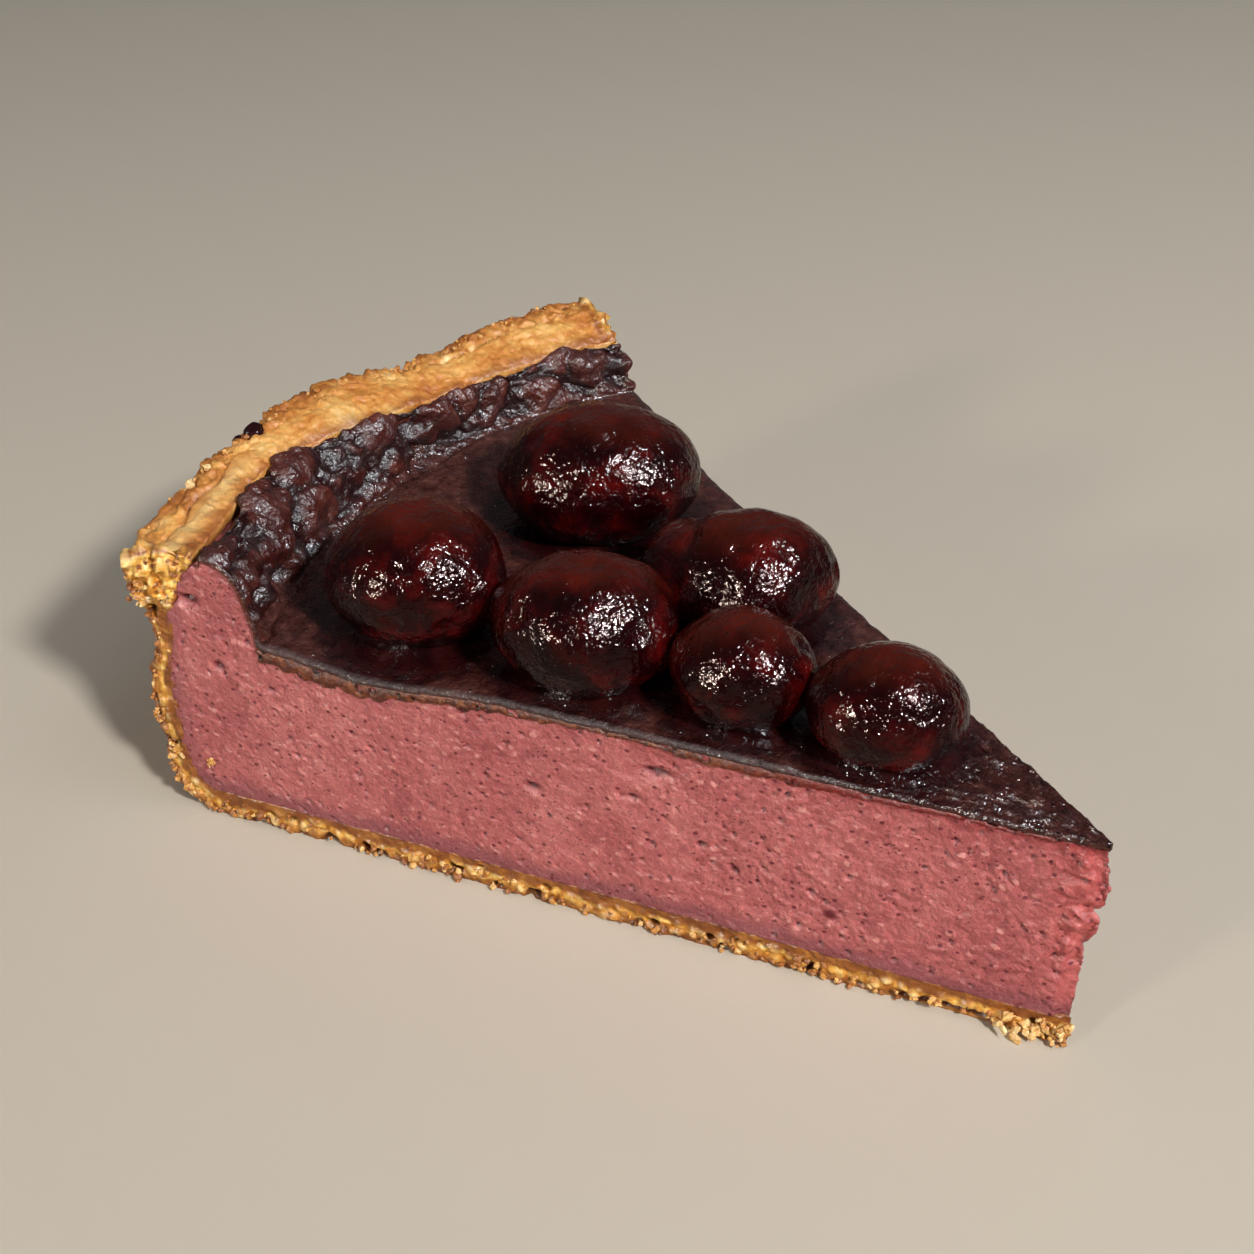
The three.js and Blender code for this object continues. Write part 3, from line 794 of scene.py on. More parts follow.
# ------------------------------------------------------------------ the custard
def topping_line(a, tip, n_slope, n_flat, power=1.0):
    """The skin's face at the angles a, from the rim down the slope and over the flat to the tip."""
    a = np.atleast_1d(a)[:, None]
    t = np.linspace(0, 1, n_slope + 1)[None, :]
    rs, zs = slope_point(t, a)
    foot = reach(a) - crease_in(a)
    r = mix(foot, tip, np.linspace(0, 1, n_flat + 1)[None, 1:] ** power)
    return np.concatenate([rs, r], 1), np.concatenate([zs, flat_z(r, a)], 1)


def custard_frame(a):
    """Four sides of the custard's cross-section at the angle a: bottom, top, tip edge and wall, as dense lines."""
    R = float(reach(a))
    front = (1 - side(a)) / 2
    tip = mix(0.9, 2.4, front)
    foot = R - float(inner_inset(np.array(BASE_THICK), a)) + 0.35
    u = np.linspace(0, 1, 400)
    bottom = np.stack([mix(tip, foot, u), np.full_like(u, BASE_THICK - 0.15)], 1)
    zt = rim_in_z(a) - 2.9
    v = np.linspace(0, 1, 200)
    zw = mix(BASE_THICK - 0.15, zt, v)
    wall = np.stack([R - inner_inset(np.maximum(zw, BASE_THICK), a) + 0.35, zw], 1)
    rs, zs = topping_line(a, tip, 60, 300)
    line = np.stack([rs[0], zs[0]], 1)[::-1]
    d = np.gradient(line, axis=0)
    n = np.stack([-d[:, 1], d[:, 0]], 1) / np.linalg.norm(d, axis=1, keepdims=True)
    inner = float(smooth(1.0, 0.9, abs(side(a)))) if side(a) < 0.5 else mix(0.55, 1.0, float(smooth(1.0, 0.9, side(a))))
    thick = np.where(line[:, 0] > R - crease_in(a) - 3, mix(0.55, SLOPE_THICK + 1.9, inner), mix(SKIN_THICK * 0.6, SKIN_THICK * 0.8, inner))
    thick = np.convolve(np.pad(thick, 8, mode="edge"), np.ones(17) / 17, "valid")
    under = line - n * thick[:, None] * np.sign(n[:, 1:2] + 1e-9)
    under[0] = (tip, under[1, 1])
    end = wall[-1]
    keep = under[:, 0] < end[0] - 0.4
    under = np.concatenate([under[keep], end[None]])
    length = np.concatenate([[0], np.cumsum(np.hypot(*np.diff(under, axis=0).T))])
    top = np.stack([np.interp(u, length / length[-1], under[:, k]) for k in (0, 1)], 1)
    edge = np.stack([np.full_like(v, tip), mix(BASE_THICK - 0.15, top[0, 1], v)], 1)
    return bottom, top, edge, wall


def custard_face(a, U, V):
    bottom, top, edge, wall = custard_frame(a)
    u, v = np.linspace(0, 1, U + 1), np.linspace(0, 1, V + 1)
    pick = lambda line, t: np.stack([np.interp(t, np.linspace(0, 1, len(line)), line[:, k]) for k in (0, 1)], 1)
    B, T, E, W = pick(bottom, u), pick(top, u), pick(edge, v), pick(wall, v)
    uu, vv = u[:, None, None], v[None, :, None]
    G = (1 - vv) * B[:, None] + vv * T[:, None] + (1 - uu) * E[None] + uu * W[None] \
        - ((1 - uu) * (1 - vv) * B[0] + (1 - uu) * vv * T[0] + uu * (1 - vv) * B[-1] + uu * vv * T[-1])
    return G, u, v


def make_custard():
    s = Shell("cut", "u", "v", "side", "tip")
    V = 96
    sizes = {-1: 470, 1: 290}
    for sd, U in sizes.items():
        a = sd * HALF
        G, u, v = custard_face(a, U, V)
        s.grid(place(G[..., 0], a, G[..., 1]), flip=sd < 0, cut=1.0, u=np.broadcast_to(u[:, None], G.shape[:2]),
               v=np.broadcast_to(v[None], G.shape[:2]), side=float(sd), tip=0.0)
    w = np.linspace(-1, 1, 13)
    cols = np.stack([place(*[(g[0][0, :, 0]), x * HALF, g[0][0, :, 1]]) for x in w for g in [custard_face(x * HALF, 4, V)]])
    vv = np.linspace(0, 1, V + 1)
    s.grid(cols, flip=False, cut=1.0, u=0.0, v=np.broadcast_to(vv[None], cols.shape[:2]),
           side=np.broadcast_to(w[:, None], cols.shape[:2]), tip=1.0)
    wc = np.linspace(-1, 1, 25)
    frames = {round(float(x), 9): custard_frame(x * HALF) for x in sorted(set(np.round(np.concatenate([w, wc, np.linspace(-0.92, 0.92, 17)]), 9)))}

    def patch(which, count_front, count_back, first, last, flip):
        uf, ub = np.linspace(0, 1, count_front + 1), np.linspace(0, 1, count_back + 1)
        edge = np.concatenate([
            np.stack([uf[:-1], -np.ones(count_front)], 1), np.stack([np.ones(len(last) - 1), last[:-1]], 1),
            np.stack([ub[:0:-1], np.ones(count_back)], 1), np.stack([np.zeros(len(first) - 1), first[:0:-1]], 1)])
        g = np.array([(x, y) for x in np.linspace(0.04, 0.96, 40) for y in np.linspace(-0.92, 0.92, 17)])

        def to3d(uv):
            out = np.zeros((len(uv), 3))
            for y in np.unique(np.round(uv[:, 1], 9)):
                use = np.abs(uv[:, 1] - y) < 1e-6
                line = frames[float(y)][which]
                t = np.linspace(0, 1, len(line))
                out[use] = place(np.interp(uv[use, 0], t, line[:, 0]), y * HALF, np.interp(uv[use, 0], t, line[:, 1]))
            return out
        s.fill(edge, g, to3d, flip=flip, cut=0.0, u=0.5, v=0.5, side=0.0, tip=0.0)
    patch(0, 470, 290, w, wc, False)
    patch(1, 470, 290, w, wc, True)
    patch(3, V, V, wc, wc, False)
    s.weld()
    P, F = s.P, s.F
    N = normals(P, F)
    cut, u, v, sd, tipness = (s.get(k) for k in ("cut", "u", "v", "side", "tip"))
    r = np.hypot(P[:, 0] - TIP_X, P[:, 1] - TIP_Y)
    z = P[:, 2]
    face = cut > 0.6
    near_tip = smooth(6.5, 2.2, r) * (cut > 0.3) * mix(0.25, 1.0, smooth(9, 12.5, z))
    broad = fbm(P / 6.0, 2, 0.5, 101)
    grain = fbm(P / 1.3, 3, 0.6, 107)
    right = smooth(60, 15, r)                              # more torn towards the tip
    torn = noise(P / (2.2, 2.2, 1.1), 113)
    Q = P + 0.5 * np.stack([fbm(P / 1.6, 2, 0.5, 114), fbm(P / 1.6, 2, 0.5, 115), fbm(P / 1.6, 2, 0.5, 116)], 1)
    f1, f2, fo = cells(Q / (1.9, 1.9, 1.2), 117)
    g1, g2, go = cells(Q / (0.95, 0.95, 0.7), 118)
    flaky = (0.45 + 0.55 * right) * smooth(3.6, 8, z)
    d = face * (0.16 * broad + (0.06 + 0.05 * right) * grain + flaky * (0.22 * (fo - 0.5) * smooth(0.02, 0.16, f2 - f1) + 0.17 * (go - 0.5)
                + 0.10 * right * np.abs(torn)))
    # pores: small pits, fewer large ones, darkened with painted shade
    c1, _, o1 = cells(P / 1.7 + 0.15 * grain[:, None], 119)
    p1 = smooth(0.16 + 0.16 * o1, 0.06, c1) * (o1 > 0.3) * face
    c2, _, o2 = cells(P / 6.0 + 0.1 * grain[:, None], 127)
    p2 = smooth(0.10, 0.03, c2) * (o2 > 0.8) * face
    hollow_shade = np.clip(p1 * 0.75 + p2, 0, 1)
    d -= 0.55 * p1 + 0.6 * p2
    # particular hollows seen at the front cut: r, z, half length, half height, depth
    for pr, pz, sx, sz, dep in ((99.1, 30.6, 1.1, 0.6, 1.6), (101.5, 30.3, 0.7, 0.6, 1.6), (96.5, 22.5, 0.8, 0.5, 0.7),
                                (58.9, 16.5, 0.8, 0.45, 0.9), (44.9, 22.5, 1.5, 0.45, 0.9), (47.5, 18.5, 0.6, 0.3, 0.7),
                                (90.0, 21.0, 0.5, 0.3, 0.5), (36.0, 12.0, 0.5, 0.5, 0.4), (25.8, 9.3, 0.8, 0.7, 0.15)):
        m = np.exp(-(((r - pr) / sx) ** 2 + ((z - pz) / sz) ** 2)) * face * (sd < -0.5)
        d -= dep * m
        # painted shade in the hollow
        hollow_shade = np.maximum(hollow_shade, m)
    # broken tip: lumps with fissures between them
    lump1, lump2, _ = cells(P / (2.6, 2.6, 2.3) + 0.2 * grain[:, None], 131)
    d += near_tip * (0.8 * np.minimum(0.5, lump2 - lump1) - 0.25 + 0.25 * grain)
    zz = z + 0.5 * broad + 0.35 * P[:, 1]
    jut = 1.0 * bump(zz, 20.8, 3.4) + 0.75 * bump(zz, 15.9, 1.5) - 0.85 * bump(zz, 18.0, 0.55) - 0.35 * bump(zz, 13.6, 0.6)
    jut = (jut + 0.16 * grain * smooth(11, 14, z)) * smooth(4.6, 1.4, r) * (cut > 0.3)
    fissure = smooth(0.12, 0.02, lump2 - lump1) * near_tip
    # painted shade in the fissures
    hollow_shade = np.clip(np.maximum(hollow_shade, 0.3 * fissure), 0, 1)
    P = P + N * d[:, None] * (cut > 0.3)[:, None]
    P[:, 0] += jut
    low = smooth(6.6, 4.2, z + 0.9 * broad + 0.5 * grain) + face * smooth(0.965, 1.0, u + 0.01 * broad) * 0.8
    edge_top = smooth(0.90, 1.0, v + 0.02 * grain) * smooth(0.88, 0.7, u) * smooth(75, 30, r)
    tip_tone = np.clip(near_tip * 0.9 + tipness * 0.4, 0, 1)
    # the raised flakes get a painted highlight, the pores and hollows painted shade
    obj = write("custard_set", P, F, CUSTARD_MAT,
                {"low": np.clip(low, 0, 1), "top": np.clip(edge_top, 0, 1), "tip": tip_tone, "hollow_shade": hollow_shade, "pale_and_highlight": face * smooth(0.82, 0.97, go) * smooth(0.5, 0.3, g1) * (1 - hollow_shade)})
    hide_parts("custard")
    return obj


# ------------------------------------------------------------------ the dark fruit skin
N_SLOPE, N_FLAT, N_ROUND = 64, 196, 262


def make_skin():
    s = Shell("slope", "edge", "t", "under")
    angles = np.linspace(-HALF, HALF, N_ROUND + 1)
    tip = 0.5
    r, z = topping_line(angles, tip, N_SLOPE, N_FLAT, 1.08)
    A = np.broadcast_to(angles[:, None], r.shape)
    K = r.shape[1]
    t = np.clip(np.arange(K) / N_SLOPE, 0, 1)
    top = place(r, A, z)
    slope = np.broadcast_to(smooth(1.0, 0.93, t) * (np.arange(K) <= N_SLOPE), r.shape)
    s.grid(top, flip=True, slope=slope, edge=0.0, t=np.broadcast_to(t, r.shape), under=0.0)
    # lower face: a copy shifted in and down, coarse inside
    d = np.stack([np.gradient(r, axis=1), np.gradient(z, axis=1)], -1)
    n = np.stack([d[..., 1], -d[..., 0]], -1) / np.linalg.norm(d, axis=-1, keepdims=True)
    n = n * np.sign(n[..., 1:2] + 1e-9)
    inner = smooth(1.0, 0.9, np.abs(angles) / HALF)[:, None]
    inner = np.where(angles[:, None] > 0, mix(0.55, 1.0, inner), inner)
    thick = mix(mix(0.8, SLOPE_THICK + 1.4, inner), SKIN_THICK * 0.85, smooth(N_SLOPE - 12, N_SLOPE + 4, np.arange(K))[None, :])[..., None]
    low = np.stack([r, z], -1) - n * thick
    low[:, 0] = np.stack([r[:, 0] - 0.0, z[:, 0] - 1.6], -1)
    low[:, -1, 0] = tip
    steps = 6
    h = np.linspace(0, 1, steps + 1)
    for i, flip in ((0, False), (-1, True)):
        rr = r[i][:, None] * (1 - h) + low[i, :, 0][:, None] * h
        zz = z[i][:, None] * (1 - h) + low[i, :, 1][:, None] * h
        s.grid(place(rr, angles[i], zz), flip=not flip, slope=np.broadcast_to(slope[0][:, None], rr.shape), edge=1.0,
               t=np.broadcast_to(t[:, None], rr.shape), under=np.broadcast_to(h, rr.shape))
    for k, flip in ((0, True), (K - 1, False)):
        rr = r[:, k][:, None] * (1 - h) + low[:, k, 0][:, None] * h
        zz = z[:, k][:, None] * (1 - h) + low[:, k, 1][:, None] * h
        s.grid(place(rr, angles[:, None], zz), flip=not flip, slope=float(k == 0), edge=0.5, t=float(k > 0), under=np.broadcast_to(h, rr.shape))
    kk = np.arange(K) / (K - 1)
    edge = np.concatenate([
        np.stack([kk[:-1], np.full(K - 1, -HALF)], 1), np.stack([np.ones(N_ROUND), angles[:-1]], 1),
        np.stack([kk[:0:-1], np.full(K - 1, HALF)], 1), np.stack([np.zeros(N_ROUND), angles[:0:-1]], 1)])
    rows = angles[10:-10:14]
    g = np.array([(x, y) for x in np.linspace(0.03, 0.96, 34) for y in rows])
    index = {float(x): i for i, x in enumerate(angles)}

    def to3d(uv):
        out = np.zeros((len(uv), 3))
        for y in np.unique(uv[:, 1]):
            use = uv[:, 1] == y
            i = index[float(y)]
            out[use] = place(np.interp(uv[use, 0], kk, low[i, :, 0]), y, np.interp(uv[use, 0], kk, low[i, :, 1]))
        return out
    s.fill(edge, g, to3d, flip=True, slope=0.0, edge=0.0, t=0.0, under=1.0)
    s.weld()
    P, F = s.P, s.F
    N = normals(P, F)
    slope, edge, under, tt = (s.get(k) for k in ("slope", "edge", "under", "t"))
    r = np.hypot(P[:, 0] - TIP_X, P[:, 1] - TIP_Y)
    a = np.arctan2(P[:, 1] - TIP_Y, TIP_X - P[:, 0])
    face = 1 - smooth(0.3, 0.8, under)
    warp = np.stack([fbm(P / 4.0, 2, 0.5, 201), fbm(P / 4.0, 2, 0.5, 207), fbm(P / 4.0, 2, 0.5, 211)], 1)
    Q = P + 1.3 * warp
    # blisters and sharp folds between them; the folds run down the slope
    b1, b2, bo = cells(Q / (7.0, 7.0, 5.0), 213)
    c1, c2, co = cells(Q / (3.1, 3.1, 2.4), 217)
    folds = ridged(np.stack([a / RAD * 0.34 + 0.12 * Q[:, 2], Q[:, 2] * 0.13, r * 0.09], 1), 3, 0.6, 223)
    fold2 = ridged(np.stack([a / RAD * 0.75 - 0.2 * Q[:, 2], Q[:, 2] * 0.3, r * 0.2], 1) + 0.3 * warp, 2, 0.5, 225)
    fine = fbm(Q / 1.1, 3, 0.55, 227)
    blister = 1.6 * (0.6 - b1) * (0.5 + bo) + 1.1 * np.minimum(0.25, b2 - b1) + 0.3 * (0.6 - c1) * (0.3 + co) \
        + 0.4 * np.minimum(0.2, c2 - c1) + 0.5 * fbm(Q / 3.6, 2, 0.5, 229)
    at_cut = smooth(0.95, 1.0, np.abs(a) / HALF)
    d = slope * face * (1.3 * (blister - 0.45) + 1.0 * (folds - 0.5) + 0.22 * (fold2 - 0.5) + 0.12 * fine)
    d = np.maximum(d, mix(-1.3, -0.15, at_cut)) * (1 - 0.35 * at_cut)
    shade = np.clip(slope * face * (smooth(0.10, -0.55, d) + 0.4 * smooth(-0.45, -1.0, a / HALF)), 0, 1)
    # sharp crease along the foot of the slope
    foot = reach(a) - crease_in(a)
    crease = bump(r, foot + 0.45 + 0.8 * warp[:, 0], 0.62) * face * (1 - at_cut)
    crease = crease * (0.15 + 0.85 * smooth(-0.15, 0.45, noise(np.stack([a / RAD / 5.0, 0 * a, 0 * a], 1), 245) + 0.5 * smooth(-0.5, -0.9, a / HALF)))
    d -= 1.5 * crease
    shade = np.maximum(shade, 0.9 * crease)
    # the flat: faint waves, pimples, thin glossy wrinkles towards the tip
    flat = (1 - slope) * face * (1 - smooth(0.0, 1.0, edge) * 0.4)
    d += flat * (0.22 * fbm(P / 4.0, 3, 0.5, 231) + 0.16 * fbm(P / 1.5, 3, 0.6, 233) + 0.10 * (ridged(P / 2.6, 2, 0.5, 235) - 0.4))
    wr = ridged(np.stack([P[:, 0] * 0.5 + P[:, 1] * 0.2, P[:, 1] * 0.9, 0 * r], 1), 2, 0.5, 237)
    d += flat * smooth(30, 12, r) * 0.5 * (wr - 0.5)
    k1, _, ko = cells(P * (1, 1, 0) / 5.5 + (0, 0, 0.5), 239)
    d += flat * 0.35 * smooth(0.13, 0.03, k1) * (ko > 0.45)
    for px, py, hh, w in ((-64.9, -19.9, 0.55, 0.75), (-46.9, -14.6, 0.5, 0.9)):
        q = np.hypot(P[:, 0] - TIP_X - px, P[:, 1] - TIP_Y - py)
        d += hh * np.exp(-(q / w) ** 2) * face
    # darker beside the fruits, where syrup wets the skin, and painted shade towards the tip
    beside = np.full(len(P), 99.0)
    for i, (fx, fy, l, w, h) in enumerate(FRUITS):
        q = P - (TIP_X, TIP_Y, 0)
        q[:, 2] = FLAT_Z + h * (1 - SUNK)
        beside = np.minimum(beside, (np.linalg.norm(to_fruit(q, i)[:, :2], axis=1) - 1) * math.sqrt(l * w))
    wet_and_shade = (1 - slope) * np.maximum(0.95 * smooth(2.9, 0.6, beside + 0.9 * noise(P / 3.0, 247)), 0.5 * smooth(36, 16, r + 4 * warp[:, 0]))
    # lobes at the back cut and a rolled lip at both cuts
    back = smooth(0.9, 1.0, a / HALF) * slope
    d += back * 0.6 * np.sin(P[:, 2] * 1.9 + 0.7)
    P = P + N * d[:, None] * (under < 0.6)[:, None]
    # the cut edge hangs over the custard unevenly
    hang = 0.12 + 0.22 * noise(np.stack([r / 3.5, 0 * r, np.sign(a) * 3], 1), 241) + 0.14 * noise(np.stack([r / 1.4, 0 * r, np.sign(a) * 3], 1), 243)
    strip = smooth(0.975, 1.0, np.abs(a) / HALF) * (r > 1.5)
    round_ = 0.3 + 0.7 * np.sin(np.pi * np.clip(under, 0, 1)) * (edge > 0.3)
    P[:, 0] += np.sin(HALF) * (hang + 0.15) * strip * round_
    P[:, 1] += np.sign(a) * np.cos(HALF) * (hang + 0.15) * strip * round_
    P[:, 2] -= 0.07 * smooth(0.985, 1.0, np.abs(a) / HALF) * (1 - under) * (1 - slope)
    thin = np.clip(edge * smooth(0.3, 0.95, under), 0, 1) * mix(0.25, 1.0, smooth(30, 60, r)) * (1 - smooth(0.75, 1.0, tt) * (edge < 0.6))
    obj = write("fruit_skin_sheet", P, F, SKIN_MAT, {"slope": np.clip(slope, 0, 1), "thin": thin, "shade": shade, "wet_and_shade": wet_and_shade, "lip": smooth(0.965, 0.995, np.abs(a) / HALF) * (1 - slope) * smooth(14, 34, r)})
    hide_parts("topping")
    return obj


# ------------------------------------------------------------------ brown film under the skin at the cuts
def make_film(sd, name):
    n, m = 620, 14
    r = np.linspace(5.0, float(reach(sd * HALF) - crease_in(sd * HALF)) + 0.6, n + 1)
    a = sd * HALF
    if sd < 0:
        height = np.interp(r, [5, 16, 27, 36, 41, 45, 52, 58, 66, 72, 76, 80, 84, 88, 92],
                           [0.25, 0.35, 0.75, 0.95, 0.9, 0.35, 0.3, 0.7, 0.95, 0.9, 1.3, 1.5, 1.6, 1.5, 1.1])
    else:
        height = np.interp(r, [5, 20, 45, 60, 75, 90], [0.3, 0.6, 0.8, 0.9, 1.2, 1.2])
    line = np.stack([r / 2.1, 0 * r + 7 * sd, 0 * r], 1)
    height = np.clip(height * (1.2 + 0.6 * noise(line, 301)) + 0.25 * noise(line * 3, 303), 0.15, 2.6)
    top = flat_z(r, a) - 0.72
    ang = np.linspace(0, 2 * np.pi, m, endpoint=False)
    # section: x is out of the cut, y is up
    ox, oy = 0.38 * np.cos(ang), np.sin(ang) * 0.5 - 0.5
    rr = np.broadcast_to(r[:, None], (n + 1, m))
    zz = top[:, None] + 0.15 + (height[:, None] + 0.3) * oy[None]
    off = np.broadcast_to(ox[None], rr.shape) - 0.02
    pos = place(rr, a, zz)
    out = np.array([np.sin(HALF), sd * np.cos(HALF), 0])
    pos = pos + off[..., None] * out
    s = Shell("red")
    closed = np.concatenate([pos, pos[:, :1]], 1)
    red = np.broadcast_to(smooth(42, 25, r)[:, None], (n + 1, m + 1))
    s.grid(closed, flip=sd < 0, red=red)
    for k, fl in ((0, True), (-1, False)):
        mid = pos[k].mean(0)
        cap = np.stack([closed[k], np.broadcast_to(mid, closed[k].shape)], 0)
        s.grid(cap, flip=(sd < 0) ^ fl, red=float(k == 0))
    s.weld(1e-3)
    P, F = s.P, s.F
    N = normals(P, F)
    # holes in the film, sunk in and darkened with painted shade
    c1, _, co = cells(P / (1.25, 1.25, 1.0), 307)
    hole = smooth(0.5, 0.2, c1) * (co > 0.45)
    d = 0.16 * fbm(P / 0.9, 3, 0.6, 311) - 0.5 * hole
    P = P + N * d[:, None]
    return write(name, P, F, FILM_MAT, {"red": s.get("red"), "hollow_shade": hole})


# ------------------------------------------------------------------ the glazed fruits
def ball(n):
    """A round mesh from the six sides of a cube, points and quads."""
    s = Shell()
    t = np.tan(np.linspace(-1, 1, n + 1) * np.pi / 4)
    u, v = np.meshgrid(t, t, indexing="ij")
    one = np.ones_like(u)
    for sides, flip in (((u, v, one), False), ((u, v, -one), True), ((one, u, v), False), ((-one, u, v), True), ((v, one, u), False), ((v, -one, u), True)):
        p = np.stack(sides, -1)
        s.grid(p / np.linalg.norm(p, axis=-1, keepdims=True), flip=flip)
    s.weld(1e-5)
    return s.P, s.F


def to_fruit(p, i):
    """Points in millimetres round the tip, in fruit i's own unit ball."""
    x, y, l, w, h = FRUITS[i]
    c, s = math.cos(FRUIT_TURN), math.sin(FRUIT_TURN)
    q = p - (x, y, FLAT_Z + h * (1 - SUNK))
    return np.stack([(q[:, 0] * c + q[:, 1] * s) / l, (-q[:, 0] * s + q[:, 1] * c) / w, q[:, 2] / h], 1)


BALL_P, BALL_F = ball(54)


def make_fruit(i):
    x, y, l, w, h = FRUITS[i]
    U = BALL_P
    turn = np.arctan2(U[:, 1], U[:, 0])
    girth = 1 - 0.03 * U[:, 2] + 0.012 * np.sin(3 * turn + (i + 1) * 1.7) + 0.01 * np.sin(5 * turn - (i + 1))
    crown = 1 - 0.05 * bump(np.hypot(U[:, 0], U[:, 1]), 0, 0.28) * (U[:, 2] > 0)
    c, s = math.cos(FRUIT_TURN), math.sin(FRUIT_TURN)
    u, v = U[:, 0] * l * girth, U[:, 1] * w * girth
    P = np.stack([x + u * c - v * s, y + u * s + v * c, FLAT_Z + h * (1 - SUNK) + U[:, 2] * h * crown], 1)
    N = normals(P, BALL_F)
    S = P + 31.7 * i
    d = 0.5 * fbm(S / 7.0, 2, 0.5, 401) + 0.16 * fbm(S / 2.3, 3, 0.55, 403)
    dents, _, own = cells(S / 4.2, 407)
    d -= 0.4 * smooth(0.42, 0.1, dents) * (own > 0.4)
    # drawn-out necks towards the neighbours, where the syrup joins them
    for j in range(len(FRUITS)):
        if j == i:
            continue
        q = to_fruit(P, j)
        far = np.linalg.norm(q, axis=1)
        gap = far * (far - 1) / np.linalg.norm(q / FRUITS[j][2:], axis=1)
        near = gap.min()
        if near < 4.2:
            d += (max(near, 0) / 2 + 0.35) * np.exp(-(gap - near) / 1.5) * smooth(1.0, 0.6, U[:, 2])
    if i == 3:                                             # the fourth has a drawn-out left end behind a fold
        q = U[:, 0] * -0.94 + U[:, 1] * 0.34
        d -= 0.4 * np.exp(-(((q - 0.66) / 0.10) ** 2)) * smooth(-0.1, 0.4, U[:, 2])
        d += 2.3 * smooth(0.5, 1.0, q) * smooth(0.85, 0.2, U[:, 2])
    P = P + N * d[:, None]
    # painted reflection, brownish, towards the top and the back of the fruit
    brown_and_reflection = np.clip(0.5 * smooth(0.15, 0.9, U[:, 1] * 0.6 + U[:, 2] * 0.8 + 0.25 * fbm(S / 3.5, 3, 0.5, 411)), 0, 1)
    P[:, 0] += TIP_X
    P[:, 1] += TIP_Y
    obj = write(f"fruit_{i + 1}", P, BALL_F, FRUIT_MAT, {"brown_and_reflection": brown_and_reflection})
    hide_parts(f"berry_{i + 1}")
    return obj


def make_syrup():
    """Thin dark syrup that has run out round the fruits and stands up against them."""
    step = 0.36
    x = np.arange(-90, -12, step)
    y = np.arange(-32, 24, step)
    X, Y = np.meshgrid(x, y, indexing="ij")
    p = np.stack([X.ravel(), Y.ravel(), 0 * X.ravel()], 1)
    r, a = np.hypot(p[:, 0], p[:, 1]), np.arctan2(p[:, 1], -p[:, 0])
    base = flat_z(r, a)
    foot, rim = np.full(len(p), 99.0), np.full(len(p), 99.0)
    lift = np.zeros(len(p))
    for i, (fx, fy, l, w, h) in enumerate(FRUITS):
        q = p.copy()
        q[:, 2] = FLAT_Z + h * (1 - SUNK)
        e = np.linalg.norm(to_fruit(q, i)[:, :2], axis=1)
        size = math.sqrt(l * w)
        d_rim, d_foot = (e - 1) * size, (e - 0.56) * size
        rim, foot = np.minimum(rim, d_rim), np.minimum(foot, d_foot)
        lift = lift + 1.7 * np.exp(-np.clip(d_foot, 0, 99) / 1.6)
    wob = 0.55 * noise(p / 4.0, 501) + 0.25 * noise(p / 1.7, 503)
    film = 0.26 * (1 - smooth(-1.2, 0.15, rim + wob)) + 0.06 * noise(p / 1.1, 505)
    gap = np.sin(np.maximum(0, HALF - np.abs(a))) * r       # distance to the cuts
    film = film * smooth(0.3, 1.6, gap)
    height = film + np.minimum(lift, 2.6) * smooth(1.1, 0.1, rim) * smooth(0.4, 2.0, gap) - 0.30
    z = base + height
    keep = (rim + wob < 1.0) & (r < reach(a) - crease_in(a) + 1.0) & (gap > 0.1)
    keep = keep.reshape(X.shape)
    ids = -np.ones(X.shape, int)
    inside = keep[:-1, :-1] & keep[1:, :-1] & keep[1:, 1:] & keep[:-1, 1:]
    use = np.zeros_like(keep)
    use[:-1, :-1] |= inside
    use[1:, :-1] |= inside
    use[1:, 1:] |= inside
    use[:-1, 1:] |= inside
    ids[use] = np.arange(use.sum())
    pts = np.stack([X[use] + TIP_X, Y[use] + TIP_Y, z.reshape(X.shape)[use]], 1)
    low = pts.copy()
    low[:, 2] = np.minimum(low[:, 2] - 0.25, base.reshape(X.shape)[use] - 0.55)
    n = len(pts)
    q = np.stack([ids[:-1, :-1][inside], ids[1:, :-1][inside], ids[1:, 1:][inside], ids[:-1, 1:][inside]], 1)
    edges = {}
    for f in q:
        for k in range(4):
            e = (int(f[k]), int(f[(k + 1) % 4]))
            if (e[1], e[0]) in edges:
                del edges[(e[1], e[0])]
            else:
                edges[e] = True
    walls = np.array([[e[1], e[0], e[0] + n, e[1] + n] for e in edges])
    parts, faces = [pts, low], [q, q[:, ::-1] + n, walls]
    F = np.concatenate(faces)
    P = np.concatenate(parts)
    return write("syrup_pools", P, F, SYRUP_MAT)


